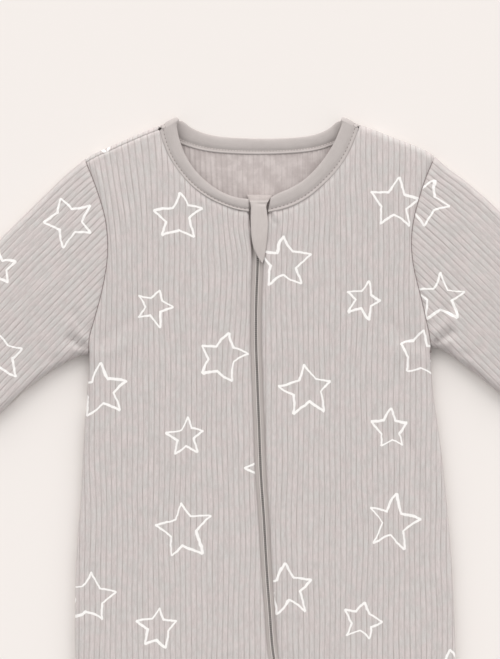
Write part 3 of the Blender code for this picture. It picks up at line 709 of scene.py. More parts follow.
def seamedTop(x, down):
    return topHeight(x, down, "front") - seamDip(x, down)


def fromZip(x, down):
    # distance to the nearer folded edge beside the zip
    return np.minimum(np.abs(x - zipX(down, -1)), np.abs(x - zipX(down, 1)))


def frontHeight(x, down):
    # rolls down to the zip, with a soft ridge beside the fold
    side = fromZip(x, down)
    edge = np.clip(1.0 - side / 2.0, 0.0, 1.0)
    return seamedTop(x, down) - 1.5*edge**2 + 0.3*np.exp(-((side - 4.2) / 1.8)**2)


def frontCalm(x, down):
    # ribs die away at the neck seam and at the zip
    return near(distanceTo(bandSeams, x, down), 2.4)*near(fromZip(x, down) - 0.3, 2.0)


def backHeight(x, down):
    return underHeight(x, down, "back")


def stripEdge(side):
    # inner edge of the left front on one leg: the zip or the body line, then the inseam
    return lambda down: np.where(down <= suit["crotch"], np.minimum(zipX(down, -1), suit["bodyLine"]),
                                 inseamX(down, side))


def midLine(side):
    return lambda down: np.where(down <= suit["crotch"], suit["bodyLine"], inseamX(down, side))


def outerEdge(column):
    return lambda down: sideX(down, column)


def zipEdge(side):
    return lambda down: zipX(down, side)


allRows = levelRows(suit["length"])
leftTop = edgeLine([(x, d + shoulderTurn["reach"] + 0.1) for x, d in shoulderLeft[:-1] + [(-73.6, 6.9)]],
                   [(row[0], row[1] - 0.5) for row in bandLeft[::-1]] + [(60.0, 70.0)])
rightTop = edgeLine([(row[0], row[1] - 0.5) for row in bandRight], shoulderRight)
backTop = edgeLine(shoulderLeft[:-1] + [(-73.6, 6.9)], [(row[0], row[1] - 0.4) for row in bandBack],
                   [(73.4, 6.0)] + shoulderRight[1:])

# how far the rib columns reach: to each side, in the right leg's inner strip, and left under the zip
panelReach = dict(left=-141.0, right=149.0, strip=82.0, under=-8.0)
leftColumns, leftRib = ribColumns(ribStart, panelReach["left"], ribStart)
keep = leftColumns <= ribStart + 0.001
leftColumns, leftRib = leftColumns[keep], leftRib[keep]
rightColumns, rightRib = ribColumns(ribStart, ribStart, panelReach["right"])
keep = rightColumns >= ribStart - 0.001
rightColumns, rightRib = rightColumns[keep], rightRib[keep]
strip = rightColumns < panelReach["strip"]

# lines: strength of the painted shade in the furrows of the inside
insideLook = dict(colour=(0.640, 0.580, 0.565), dark=(0.40, 0.345, 0.335), lines=0.35, cloudy=0.5)
insideCloth = jerseyMaterial("ribbedKnitInside", insideLook["colour"], insideLook["dark"], suit["ribPitch"],
                             insideLook["lines"], insideLook["cloudy"])
leftKnit, rightKnit, backKnit = [
    knitMaterial(name, ribStart, [(across, -down, *rest) for across, down, *rest in stars])
    for name, stars in (("ribbedKnitLeftFront", leftStars), ("ribbedKnitRightFront", rightStars),
                        ("ribbedKnitBack", backStars))]

frontLeft, frontLeftArea = clothMesh("frontLeft", [
    bodyGrid(allRows, leftColumns, leftRib, outerEdge(1), stripEdge(-1), leftTop, frontHeight, True,
             calm=frontCalm),
    bodyGrid(allRows, rightColumns[strip], rightRib[strip], stripEdge(1), zipEdge(-1), leftTop, frontHeight,
             True, calm=frontCalm)], [leftKnit, insideCloth])
thicken(frontLeft, suit["wall"], 1)
frontRight, frontRightArea = clothMesh("frontRight", [
    bodyGrid(allRows, *ribColumns(ribStart, panelReach["under"], panelReach["right"]), zipEdge(1),
             outerEdge(2), rightTop, frontHeight, True, calm=frontCalm)], [rightKnit, insideCloth])
thicken(frontRight, suit["wall"], 1)
print("fronts made")


def turnGrid(line, columns, heights, reach):
    # the back's edge where it comes over the shoulder to the front seam
    u, over = np.meshgrid(columns, np.array([0.0, 0.35, 0.9, 1.6, 2.4, 3.3]) / 3.3*reach)
    down = line(u) + over
    z = seamedTop(u, down) + np.broadcast_to(heights, u.shape)*near(over, 1.2)*near(reach - over, 1.2)
    return np.stack([u, down, z], -1), np.stack([u, over - line(u)], -1), True


heelRows = levelRows(suit["heel"])
turned = (leftColumns > shoulderTurn["outer"]) & (leftColumns < shoulderTurn["inner"])
back, backArea = clothMesh("backPanel", [
    bodyGrid(heelRows, leftColumns, leftRib, outerEdge(1), midLine(-1), backTop, backHeight, False, -1.0),
    bodyGrid(heelRows, rightColumns, rightRib, midLine(1), outerEdge(2), backTop, backHeight, False, -1.0),
    turnGrid(shoulderLine, leftColumns[turned], leftRib[turned], shoulderTurn["reach"])],
    [backKnit, insideCloth])
thicken(back, suit["wall"], 1)
print("back made")

# soles
soleLook = dict(colour=(0.560, 0.525, 0.500), dark=(0.47, 0.43, 0.41), gap=0.3)
jersey = jerseyMaterial("plainJersey", soleLook["colour"], soleLook["dark"])
soleRows = allRows[allRows >= suit["heel"]]
soleRows = np.concatenate([[suit["heel"] + soleLook["gap"]], soleRows[1:]])
soles = []
for name, low, high in (("soleLeft", outerEdge(1), midLine(-1)), ("soleRight", midLine(1), outerEdge(2))):
    share, down = np.meshgrid(np.linspace(0.0, 1.0, 41), soleRows)
    x = low(down) + share*(high(down) - low(down))
    points = np.stack([x, down, backHeight(x, down)], -1)
    sole, soleArea = clothMesh(name, [(points, np.stack([x, -down], -1), False)], [jersey, insideCloth])
    thicken(sole, suit["wall"], 1)
    soles.append((sole, soleArea))
print("soles made")

# sleeves
cuffLook = dict(rowStep=4.6, hem=12.5, hemRise=0.35, hemStart=1.5, hemEnd=76.0, ribShare=0.62, ribStart=1.2)


def sleeveFrame(sleeve):
    # start of the top edge, unit steps along and across the sleeve, its length and the whole top edge
    top = splinePath(sleeve["top"], 8)
    start = top[0]
    reach = np.linalg.norm(top[-1] - start)
    along = (top[-1] - start) / reach
    across = np.array([-along[1], along[0]])
    if across[1] < 0:
        across = -across
    return start, along, across, reach, top


def toSleeve(sleeve, x, down):
    # place across and along the sleeve of a point seen from above
    start, along, across = sleeveFrame(sleeve)[:3]
    dx, dy = x - start[0], down - start[1]
    return dx*across[0] + dy*across[1], dx*along[0] + dy*along[1]


def makeSleeve(name, sleeve, column, materials):
    start, along, across, reach, top = sleeveFrame(sleeve)
    side = -1.0 if column == 1 else 1.0
    topAcross, topAlong = toSleeve(sleeve, top[:, 0], top[:, 1])
    low = splinePath(sleeve["low"], 8)
    lowAcross, lowAlong = toSleeve(sleeve, low[:, 0], low[:, 1])
    seamDown = np.arange(suit["armTop"], suit["armLow"] + 0.1, 1.0)
    seamAcross, seamAlong = toSleeve(sleeve, sideX(seamDown, column) - side*0.12, seamDown)
    columns, heights = ribColumns(cuffLook["ribStart"], 0.0, lowAcross.max() + 1.0)
    keep = columns > cuffLook["ribStart"] - 0.1
    columns = np.concatenate([[0.0, 0.25, 0.7], columns[keep]])
    heights = np.concatenate([[0.0, 0.0, 0.0], heights[keep]])
    share = np.linspace(0.028, 1.0, int(reach / cuffLook["rowStep"]))
    w, share = np.meshgrid(columns, np.concatenate([[0.0, 0.0025, 0.006, 0.011, 0.018], share]))
    a = share*reach
    rib = heights[None, :]*cuffLook["ribShare"]
    wander = 0.5*np.sin(a / 21.0 + w / 11.0)*np.sin(w / 9.0)
    for _ in range(10):      # the rows settle on the sloping armhole
        wide = np.interp(a, lowAlong, lowAcross)
        place = np.minimum(w + wander*(w > 0.01), wide)
        bend = np.interp(a, topAlong, topAcross)*np.clip(1.0 - place / np.maximum(wide, 1.0), 0.0, 1.0)
        first = np.interp(place + bend, seamAcross, seamAlong)
        a = first + (reach - first)*share
    x = start[0] + along[0]*a + across[0]*(place + bend)
    down = start[1] + along[1]*a + across[1]*(place + bend)
    edge = distanceTo(outline, x, down)
    edge = np.where((w < 0.01) | (place >= wide - 0.001), 0.0, np.maximum(edge, 0.02))
    seam = distanceTo(armholes, x, down)
    fade = near(edge, 3.0)*near(seam, 2.4)
    hem = np.exp(-((reach - a - cuffLook["hem"]) / 1.2)**2)
    body = cuffLook["hemRise"]*np.clip((a - reach + cuffLook["hem"]) / 2.0, 0.0, 1.0)
    upper = topHeight(x, down, "sleeve") + (body - 0.35*hem + rib)*fade
    upper -= 0.3*np.exp(-(seam / 0.9)**2)*rolled(edge)
    upper = np.where(edge <= 0.0, suit["roll"], upper)
    lower = np.maximum(underHeight(x, down, "sleeve") - rib*fade, 0.0)
    lower = np.where(edge <= 0.0, suit["roll"], lower)
    piece, area = clothMesh(name, [
        (np.stack([x, down, upper], -1), np.stack([place, a], -1), column == 1),
        (np.stack([x, down, lower], -1), np.stack([-place, a], -1), column != 1)], materials)
    thicken(piece, suit["wall"], 1)
    return piece, area


# star charts with places seen from above, as on the body
leftSleeveStars = [
    (-137.6, 78.5, 18.6, 0.51, 0.47, 1.0, 11.0, twice), (-190.0, 113.0, 14.0, 0.1, 0.5, 1.0, 12.0, twice),
    (-190.0, 177.0, 18.0, 0.2, 0.5, 1.0, 13.0, twice), (-240.0, 172.0, 14.0, 0.4, 0.5, 1.0, 14.0, twice),
    (-262.0, 215.0, 18.0, 0.0, 0.5, 1.0, 15.0, twice)]
rightSleeveStars = [
    (131.6, 134.1, 18.5, 0.2, 0.5, 1.0, 16.0, twice), (119.0, 64.0, 19.0, 0.73, 0.47, 1.0, 17.0, twice),
    (190.0, 118.0, 14.0, 0.4, 0.5, 1.0, 18.0, twice), (205.0, 178.0, 18.0, 0.3, 0.5, 1.0, 19.0, twice),
    (252.0, 184.0, 14.0, 0.0, 0.5, 1.0, 20.0, twice)]


def sleeveKnit(name, sleeve, stars):
    rows = [(*[float(value) for value in toSleeve(sleeve, x, down)], *rest) for x, down, *rest in stars]
    return [knitMaterial(name, cuffLook["ribStart"], rows), insideCloth]


leftSleeve, leftSleeveArea = makeSleeve(
    "sleeveLeft", sleeveLeft, 1, sleeveKnit("ribbedKnitLeftSleeve", sleeveLeft, leftSleeveStars))
rightSleeve, rightSleeveArea = makeSleeve(
    "sleeveRight", sleeveRight, 2, sleeveKnit("ribbedKnitRightSleeve", sleeveRight, rightSleeveStars))
print("sleeves made")

# armhole seams: a dark cord of painted shade along each seam
seamShadeLook = dict(sides=6, width=0.75, height=0.6, sink=0.15,
                colour=(0.30, 0.25, 0.245), dark=(0.22, 0.185, 0.18))


def seamShadeCord(name, lines, material):
    # narrow rounded dark cord pressed into a seam, painted shade standing in for the seam's shadow
    count = seamShadeLook["sides"]
    turns = 2*math.pi*np.arange(count) / count
    vertices, faces = [], []
    for line in lines:
        first = len(vertices)
        tangent = np.gradient(line, axis=0)
        side = np.stack([-tangent[:, 1], tangent[:, 0]], 1) / np.linalg.norm(tangent[:, :2], axis=1)[:, None]
        for (x, down, z), across in zip(line, side):
            half = seamShadeLook["width"]/2*(1.0 + 0.25*math.sin(down*1.9))
            for turn in turns:
                out = half*math.cos(turn)
                vertices.append(toWorld(x + across[0]*out, down + across[1]*out,
                                        z + math.sin(turn)*seamShadeLook["height"]/2))
        for i in range(len(line) - 1):
            for k in range(count):
                a, b = first + i*count + k, first + i*count + (k + 1) % count
                faces.append((a, b, b + count, a + count))
        faces.append(tuple(range(first, first + count))[::-1])
        faces.append(tuple(range(len(vertices) - count, len(vertices))))
    mesh = bpy.data.meshes.new(name)
    mesh.from_pydata(vertices, [], faces)
    mesh.shade_smooth()
    mesh.materials.append(material)
    shape = bmesh.new()
    shape.from_mesh(mesh)
    bmesh.ops.recalc_face_normals(shape, faces=shape.faces)
    shape.to_mesh(mesh)
    shape.free()
    return addObject(name, mesh)


seamShadeMaterial = plainMaterial("seamShadeDark", seamShadeLook["colour"], seamShadeLook["dark"], 0.85, 900.0)
shadeCordRuns = []
for run in armholes:
    inner = run[1:-1]
    z = topHeight(inner[:, 0], inner[:, 1], "front") - seamShadeLook["sink"]
    shadeCordRuns.append(np.column_stack([inner, z]))
armholeSeamShade = seamShadeCord("armholeSeamShade", shadeCordRuns, seamShadeMaterial)

# neckband
bandLook = dict(wall=2.0, width=12.0, meanWidth=11.8, length=345.0, frontTop=loft + 1.4, foldTop=loft - 0.6,
                colour=(0.505, 0.462, 0.448), dark=(0.40, 0.36, 0.345))
# part of the width from the seam to the free edge, half of the wall there, and the relief on both faces
bandParts, bandHalf, bandRelief = np.array([
    (0.0, 0.0, 0.0), (0.015, 0.5, 0.0), (0.04, 0.85, 0.1), (0.08, 1.0, 0.12), (0.13, 1.0, -0.25),
    (0.18, 1.0, -0.5), (0.22, 1.0, -0.62), (0.26, 1.0, -0.5), (0.33, 1.0, -0.1), (0.45, 1.0, 0.12),
    (0.6, 1.0, 0.2), (0.75, 1.0, 0.12), (0.86, 0.93, -0.02), (0.94, 0.75, -0.12), (0.985, 0.42, -0.1),
    (1.0, 0.0, 0.0)]).T


def bandRows():
    # seam point, free point, height of the outer face, and the way that face looks
    rows = []
    frontTop, foldTop = bandLook["frontTop"], bandLook["foldTop"]
    count = len(bandLeft)
    for i, row in enumerate(bandLeft):
        rows.append((*row, frontTop + (foldTop - frontTop)*(i / (count - 1))**2, 0.0, 0.0, 1.0))
    for fold, forward in ((bandFoldLeft, True), (bandFoldRight, False)):
        seam, free = np.array(fold[:2]), np.array(fold[2:])
        edge = (free - seam) / np.linalg.norm(free - seam)
        out = np.array([edge[1], -edge[0]])
        out = -out if out[1] > 0 else out
        for angle in (20.0, 55.0, 90.0, 125.0, 160.0):
            swing = math.radians(angle if forward else 180.0 - angle)
            shift = out*foldTop/2*(math.sin(swing) - 1.0)
            rows.append((*(seam + shift), *(free + shift), foldTop/2*(1.0 + math.cos(swing)),
                         *(out*math.sin(swing)), math.cos(swing)))
        if forward:
            rows += [(*row, 0.0, 0.0, 0.0, -1.0) for row in bandBack]
    for i, row in reversed(list(enumerate(bandRight))):
        rows.append((*row, frontTop + (foldTop - frontTop)*(i / (count - 1))**2, 0.0, 0.0, 1.0))
    return splinePath(rows, 6)


def bandFace(rows, side):
    # points of the outer face (side 1) or the inner face (side -1)
    part = bandParts[None, :]
    x = rows[:, 0:1] + (rows[:, 2:3] - rows[:, 0:1])*part
    down = rows[:, 1:2] + (rows[:, 3:4] - rows[:, 1:2])*part
    reach = np.linspace(0.0, bandLook["length"], len(rows))[:, None]
    pucker = 0.1*np.sin(reach / 0.92)*np.exp(-((part - 0.22) / 0.12)**2)
    pucker += 0.08*np.sin(reach / 4.1 + part*3.0)*(bandHalf > 0.9)
    half = bandLook["wall"]/2
    offset = -half + side*(half*bandHalf[None, :] + bandRelief[None, :] + pucker*(bandHalf > 0.0))
    normal = rows[:, 5:8] / np.linalg.norm(rows[:, 5:8], axis=1)[:, None]
    places = [x, down, np.broadcast_to(rows[:, 4:5], x.shape)]
    return np.stack([place + normal[:, k:k + 1]*offset for k, place in enumerate(places)], -1)


def makeBand():
    # both faces as one ring of points at each row, with a closed end at the zip on either side
    rows = bandRows()
    outer, inner = bandFace(rows, 1.0), bandFace(rows, -1.0)
    ring = np.concatenate([outer, inner[:, -2::-1]], axis=1)
    middle = ring.mean(axis=1, keepdims=True)
    ends = [np.broadcast_to(middle[k], ring[:1].shape) for k in (0, -1)]
    ring = np.concatenate([ends[0], ring, ends[1]])
    ring[:, :, 2] = np.maximum(ring[:, :, 2], 0.0)
    reach = reachAlong(ring[:, 8])
    across = np.concatenate([bandParts, 2.0 - bandParts[-2::-1]])*bandLook["width"]
    flat = np.stack(np.broadcast_arrays(across, reach[:, None]), -1)
    return ring, flat, outer, inner, rows


bandJersey = jerseyMaterial("neckbandJersey", bandLook["colour"], bandLook["dark"])
bandRing, bandFlat, bandOuter, bandInner, bandPath = makeBand()
neckband, neckbandArea = clothMesh("neckbandStrip", [(bandRing, bandFlat, False)], [bandJersey])
neckbandArea /= 2      # its flat places run round both faces
print("neckband made")

# zip guard
# inside colours: painted shade for the end that goes down inside the neck
guardLook = dict(wall=1.1, low=1.9, high=3.2, fold=62.5, rimFrom=58.0, sunkTo=63.0, creaseAt=65.0,
                 colour=(0.585, 0.535, 0.515), dark=(0.47, 0.42, 0.405),
                 inside=(0.475, 0.425, 0.41), insideShadeDark=(0.36, 0.315, 0.30))
guardRows = [     # down, rise from the back's cloth to the top, left and right edge
    (57.3, 0.0, -8.6, 8.8), (57.5, 0.30, -9.3, 9.4), (58.3, 0.60, -9.3, 9.4), (60.0, 0.84, -8.7, 8.6),
    (62.0, 0.94, -7.8, 7.0), (64.4, 0.98, -6.9, 5.6), (67.0, 0.99, -6.3, 4.9), (71.0, 1.0, -6.4, 5.4),
    (78.0, 1.0, -6.5, 6.2), (88.5, 1.0, -6.0, 5.6), (96.5, 0.95, -4.5, 4.8), (103.0, 0.88, -1.7, 3.7),
    (107.8, 0.83, 1.6, 2.4)]
# part of the width from left to right, and the rise of the rim there
guardParts, guardRim = np.array([
    (0.0, -0.55), (0.05, -0.15), (0.13, 0.08), (0.24, 0.1), (0.38, 0.05), (0.5, 0.0), (0.62, 0.05),
    (0.76, 0.1), (0.87, 0.08), (0.95, -0.15), (1.0, -0.55)]).T


def guardGrid():
    path = splinePath(guardRows, 6)
    path[:, 1] = guardLook["low"] + path[:, 1]*(loft + guardLook["high"] - guardLook["low"])
    x = path[:, 2:3] + (path[:, 3:4] - path[:, 2:3])*guardParts
    down = np.broadcast_to(path[:, 0:1], x.shape)
    onTop = np.clip((down - guardLook["rimFrom"]) / 6.0, 0.0, 1.0)
    crease = -0.5*np.exp(-(((x - 2.0)*0.25)**2 + ((down - guardLook["creaseAt"]) / 0.9)**2))
    sunk = 0.5*np.clip((guardLook["sunkTo"] - down) / 5.0, 0.0, 1.0)*(2.0*guardParts - 1.0)**4
    z = guardLook["low"] + (path[:, 1:2] - guardLook["low"])*(1.0 - sunk) + (guardRim + crease)*onTop
    reach = np.broadcast_to(reachAlong(path[:, :2])[:, None], x.shape)
    return np.stack([x, down, z], -1), np.stack([x, -reach], -1), True


guard, guardArea = clothMesh("zipGuard", [guardGrid()], [
    jerseyMaterial("guardJersey", guardLook["colour"], guardLook["dark"]),
    jerseyMaterial("guardInsideShade", guardLook["inside"], guardLook["insideShadeDark"], suit["ribPitch"], 0.3, 0.4)])
for face in guard.data.polygons:      # the end inside the neck gets painted shade, down to the fold
    face.material_index = 1 if (suit["length"]/2 - face.center.y/mm) < guardLook["fold"] else 0
thicken(guard, guardLook["wall"])
print("zip guard made")

# zip
# cord colours: painted highlight on the tapes' raised inner edges
zipLook = dict(start=67.0, end=577.0, tapeOut=7.0, tapeIn=0.72, tapeTop=loft - 1.7, tapeWall=1.0,
               toothStart=80.0, toothPitch=1.5, toothSize=(0.66, 1.5, 0.6), toothTop=loft - 1.15,
               slitHalf=0.85, slitTop=loft - 2.1, slitWall=0.5,
               cordHighlight=(0.80, 0.75, 0.73), cordHighlightDark=(0.60, 0.55, 0.53),
               tape=(0.60, 0.55, 0.53), tapeDark=(0.42, 0.375, 0.36))
teethMaterial = plainMaterial("zipTeeth", (0.66, 0.61, 0.59), (0.50, 0.46, 0.44), 0.42, 2500.0)
# near-black: painted shade for the gap between the tapes
slitShadeMaterial = plainMaterial("zipSlitShade", (0.05, 0.045, 0.04), (0.03, 0.027, 0.025), 0.8, 900.0)
metalMaterial = plainMaterial("sliderMetal", (0.50, 0.49, 0.48), (0.42, 0.41, 0.40), 0.4, 1800.0)


def tapeCloth():
    # woven tape with a painted highlight: a pale line along the raised cord at the inner edge
    made, tree, shader = newMaterial("zipTape", 0.8)
    place = flatPlace(tree)
    split = tree.nodes.new("ShaderNodeSeparateXYZ")
    tree.links.new(place, split.inputs[0])
    across = mathNode(tree, "ABSOLUTE", times(tree, split.outputs[0], 1000.0))
    along = times(tree, split.outputs[1], 1000.0)
    weave = mathNode(tree, "PINGPONG", plus(tree, along, times(tree, across, 0.5)), 0.45)
    cordHighlight = minus(tree, 1.0, ramp(tree, across, 1.55, 1.75))
    grain = noise(tree, place, 1500.0, 2.0, 0.6)
    cloth = mixColour(tree, times(tree, weave, 0.6), zipLook["tape"], zipLook["tapeDark"])
    paleHighlight = mixColour(tree, grain.outputs[0], zipLook["cordHighlight"], zipLook["cordHighlightDark"])
    tree.links.new(mixColour(tree, cordHighlight, cloth, paleHighlight), shader.inputs["Base Color"])
    addBump(tree, shader, weave, 0.5, 0.0004)
    return made


tapeMaterial = tapeCloth()


def tapeGrid(side):
    rows = np.arange(zipLook["start"], zipLook["end"] + 0.1, 3.0)
    # cord along the inner edge, then the flat weave
    offs = np.array([zipLook["tapeIn"], 0.85, 1.2, 1.55, 1.8, 2.6, 4.6, zipLook["tapeOut"]])
    relief = np.array([-0.5, 0.35, 0.75, 0.35, -0.1, -0.2, -0.25, -0.3])
    if side < 0:
        offs, relief = -offs[::-1], relief[::-1]
    off, down = np.meshgrid(offs, rows)
    middle = through(zipLine, down, 1)
    z = zipLook["tapeTop"] + np.broadcast_to(relief, off.shape)
    return np.stack([middle + off, down, z], -1), np.stack([off, -down], -1), True


tapes = []
for name, side in (("zipTapeLeft", -1), ("zipTapeRight", 1)):
    tape, tapeArea = clothMesh(name, [tapeGrid(side)], [tapeMaterial])
    thicken(tape, zipLook["tapeWall"])
    tapes.append((tape, tapeArea))


# stitches and teeth
def rowTree():
    # small rounded bodies set along lines
    tree = bpy.data.node_groups.new("setAlongLine", "GeometryNodeTree")
    face = tree.interface
    face.new_socket(name="Geometry", in_out="INPUT", socket_type="NodeSocketGeometry")
    for label, kind, value in (("Pitch", "NodeSocketFloat", 0.003), ("Jitter", "NodeSocketFloat", 0.06),
                               ("Size", "NodeSocketVector", (0.002, 0.0006, 0.0005)),
                               ("Seed", "NodeSocketInt", 3), ("Material", "NodeSocketMaterial", None)):
        socket = face.new_socket(name=label, in_out="INPUT", socket_type=kind)
        if value is not None:
            socket.default_value = value
    face.new_socket(name="Geometry", in_out="OUTPUT", socket_type="NodeSocketGeometry")
    inside, out = tree.nodes.new("NodeGroupInput"), tree.nodes.new("NodeGroupOutput")
    line = tree.nodes.new("GeometryNodeMeshToCurve")
    even = tree.nodes.new("GeometryNodeResampleCurve")
    even.mode = "LENGTH"
    points = tree.nodes.new("GeometryNodeInstanceOnPoints")
    turn = tree.nodes.new("FunctionNodeAlignRotationToVector")
    turn.axis = "X"
    turn.pivot_axis = "Z"
    tangent = tree.nodes.new("GeometryNodeInputTangent")
    body = tree.nodes.new("GeometryNodeMeshUVSphere")
    body.inputs["Segments"].default_value = 8
    body.inputs["Rings"].default_value = 5
    body.inputs["Radius"].default_value = 0.5
    shape = tree.nodes.new("GeometryNodeTransform")
    wobble = tree.nodes.new("FunctionNodeRandomValue")
    wobble.data_type = "FLOAT_VECTOR"
    wobble.inputs[0].default_value = (-1.0, -1.0, -1.0)
    wobble.inputs[1].default_value = (1.0, 1.0, 1.0)
    scaled = tree.nodes.new("ShaderNodeVectorMath")
    scaled.operation = "SCALE"
    grown = tree.nodes.new("ShaderNodeVectorMath")
    grown.operation = "ADD"
    grown.inputs[1].default_value = (1.0, 1.0, 1.0)
    real = tree.nodes.new("GeometryNodeRealizeInstances")
    smooth = tree.nodes.new("GeometryNodeSetShadeSmooth")
    finish = tree.nodes.new("GeometryNodeSetMaterial")
    link = tree.links.new
    link(inside.outputs["Geometry"], line.inputs["Mesh"])
    link(line.outputs["Curve"], even.inputs["Curve"])
    link(inside.outputs["Pitch"], even.inputs["Length"])
    link(even.outputs["Curve"], points.inputs["Points"])
    link(body.outputs["Mesh"], shape.inputs["Geometry"])
    link(inside.outputs["Size"], shape.inputs["Scale"])
    link(shape.outputs["Geometry"], points.inputs["Instance"])
    link(tangent.outputs["Tangent"], turn.inputs["Vector"])
    link(turn.outputs["Rotation"], points.inputs["Rotation"])
    link(inside.outputs["Seed"], wobble.inputs["Seed"])
    link(wobble.outputs["Value"], scaled.inputs[0])
    link(inside.outputs["Jitter"], scaled.inputs["Scale"])
    link(scaled.outputs[0], grown.inputs[0])
    link(grown.outputs[0], points.inputs["Scale"])
    link(points.outputs["Instances"], real.inputs["Geometry"])
    link(real.outputs["Geometry"], smooth.inputs["Geometry"])
    link(smooth.outputs["Geometry"], finish.inputs["Geometry"])
    link(inside.outputs["Material"], finish.inputs["Material"])
    link(finish.outputs["Geometry"], out.inputs["Geometry"])
    return tree


def setAlong(name, lines, pitch, size, material, jitter=0.06, seed=3):
    # lines: lists of points in mm as x, down, z
    points, edges = [], []
    for line in lines:
        first = len(points)
        points += [toWorld(*place) for place in line]
        edges += [(i, i + 1) for i in range(first, len(points) - 1)]
    mesh = bpy.data.meshes.new(name)
    mesh.from_pydata(points, edges, [])
    mesh.materials.append(material)
    piece = addObject(name, mesh)
    nodes = piece.modifiers.new("row", "NODES")
    nodes.node_group = rowNodes
    values = dict(Pitch=pitch*mm, Size=tuple(v*mm for v in size), Jitter=jitter, Seed=seed, Material=material)
    for item in rowNodes.interface.items_tree:
        if item.item_type == "SOCKET" and item.in_out == "INPUT" and item.name in values:
            nodes[item.identifier] = values[item.name]
    bakeModifiers(piece)
    return piece


rowNodes = rowTree()
stitchLook = dict(frontPitch=2.9, frontSize=(1.5, 0.7, 0.5), backPitch=2.2, backSize=(1.6, 0.7, 0.75),
                  hemPitch=3.1, hemSize=(2.0, 0.55, 0.45), leftEnd=0.27, rightStart=0.73)
threadMaterial = plainMaterial("thread", (0.72, 0.67, 0.64), (0.58, 0.53, 0.51), 0.8, 2500.0)
# dark stitches on the front band: their colour is painted shade where they sink into the band
sunkStitchShadeMaterial = plainMaterial("sunkStitchShade", (0.30, 0.26, 0.25), (0.24, 0.21, 0.2), 0.8, 2500.0)

stitchLine = 6      # number of the point across the band where the stitches lie
leftEnd = int(len(bandPath)*stitchLook["leftEnd"])
rightStart = int(len(bandPath)*stitchLook["rightStart"])
frontRuns = [bandOuter[2:leftEnd, stitchLine], bandOuter[rightStart:-2, stitchLine]]
backRun = bandInner[bandPath[:, 7] < -0.99, stitchLine]
bandStitches = setAlong("neckbandStitches", frontRuns, stitchLook["frontPitch"], stitchLook["frontSize"],
                        sunkStitchShadeMaterial)
backBandStitches = setAlong("backBandStitches", [backRun], stitchLook["backPitch"], stitchLook["backSize"],
                            threadMaterial)

toothDown = np.arange(zipLook["toothStart"], zipLook["end"] - 4.0, 2.0)
toothRow = [(x, down, zipLook["toothTop"]) for x, down in zip(through(zipLine, toothDown, 1), toothDown)]
zipTeeth = setAlong("zipTeeth", [toothRow], zipLook["toothPitch"], zipLook["toothSize"], teethMaterial, 0.03)
# a near-black sheet under the teeth: painted shade in the slit between the two tapes
off, down = np.meshgrid([-zipLook["slitHalf"], zipLook["slitHalf"]], toothDown)
slitPoints = np.stack([through(zipLine, down, 1) + off, down, np.full(down.shape, zipLook["slitTop"])], -1)
zipSlitShade = clothMesh("zipSlitShade", [(slitPoints, np.stack([off, -down], -1), True)], [slitShadeMaterial])[0]
thicken(zipSlitShade, zipLook["slitWall"])

# slider, pull and bottom stop
metalLook = dict(edge=0.18, plate=0.8, gap=2.2, bridge=1.9, pull=0.8, eye=1.0)


def plateMesh(outlines, low, high):
    # flat plate with softened edges; outlines after the first are holes
    curve = bpy.data.curves.new("plate", "CURVE")
    curve.dimensions = "2D"
    curve.fill_mode = "BOTH"
    curve.extrude = ((high - low)/2 - metalLook["edge"])*mm
    curve.bevel_depth = metalLook["edge"]*mm
    curve.bevel_resolution = 2
    curve.offset = -metalLook["edge"]*mm
    for outlinePoints in outlines:
        spline = curve.splines.new("POLY")
        spline.points.add(len(outlinePoints) - 1)
        spline.points.foreach_set("co", np.column_stack([
            np.array(outlinePoints)*mm, np.zeros(len(outlinePoints)), np.ones(len(outlinePoints))]).ravel())
        spline.use_cyclic_u = True
    holder = addObject("plate", curve)
    graph = bpy.context.evaluated_depsgraph_get()
    mesh = bpy.data.meshes.new_from_object(holder.evaluated_get(graph))
    bpy.data.objects.remove(holder)
    shape = bmesh.new()
    shape.from_mesh(mesh)
    bmesh.ops.remove_doubles(shape, verts=shape.verts, dist=0.00001)
    bmesh.ops.recalc_face_normals(shape, faces=shape.faces)
    bmesh.ops.translate(shape, verts=shape.verts, vec=(0.0, 0.0, (low + high)/2*mm))
    bpy.data.meshes.remove(mesh)
    return shape


def metalPiece(name, plates, material):
    # several plates in one piece
    mesh = bpy.data.meshes.new(name)
    whole = bmesh.new()
    for outlines, low, high in plates:
        shape = plateMesh(outlines, low, high)
        part = bpy.data.meshes.new("part")
        shape.to_mesh(part)
        shape.free()
        whole.from_mesh(part)
        bpy.data.meshes.remove(part)
    whole.to_mesh(mesh)
    whole.free()
    mesh.shade_smooth()
    mesh.set_sharp_from_angle(angle=math.radians(40.0))
    mesh.materials.append(material)
    return addObject(name, mesh)


def softBox(left, right, low, high, corner, bottom=1.0):
    # rounded outline, narrowed to a share of its width at the bottom
    middle = (left + right)/2
    points = []
    for cx, cy, start in ((right - corner, high - corner, 0.0), (left + corner, high - corner, 90.0),
                          (left + corner, low + corner, 180.0), (right - corner, low + corner, 270.0)):
        for k in range(6):
            turn = math.radians(start + 18.0*k)
            x, y = cx + corner*math.cos(turn), cy + corner*math.sin(turn)
            share = bottom + (1.0 - bottom)*(y - low) / (high - low)
            points.append((middle + (x - middle)*share, y))
    return points


def boxSides(node):
    # left, right, near and far side of a part of the frame, in mm
    low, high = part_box(node)
    return low[0]/mm, high[0]/mm, low[1]/mm, high[1]/mm


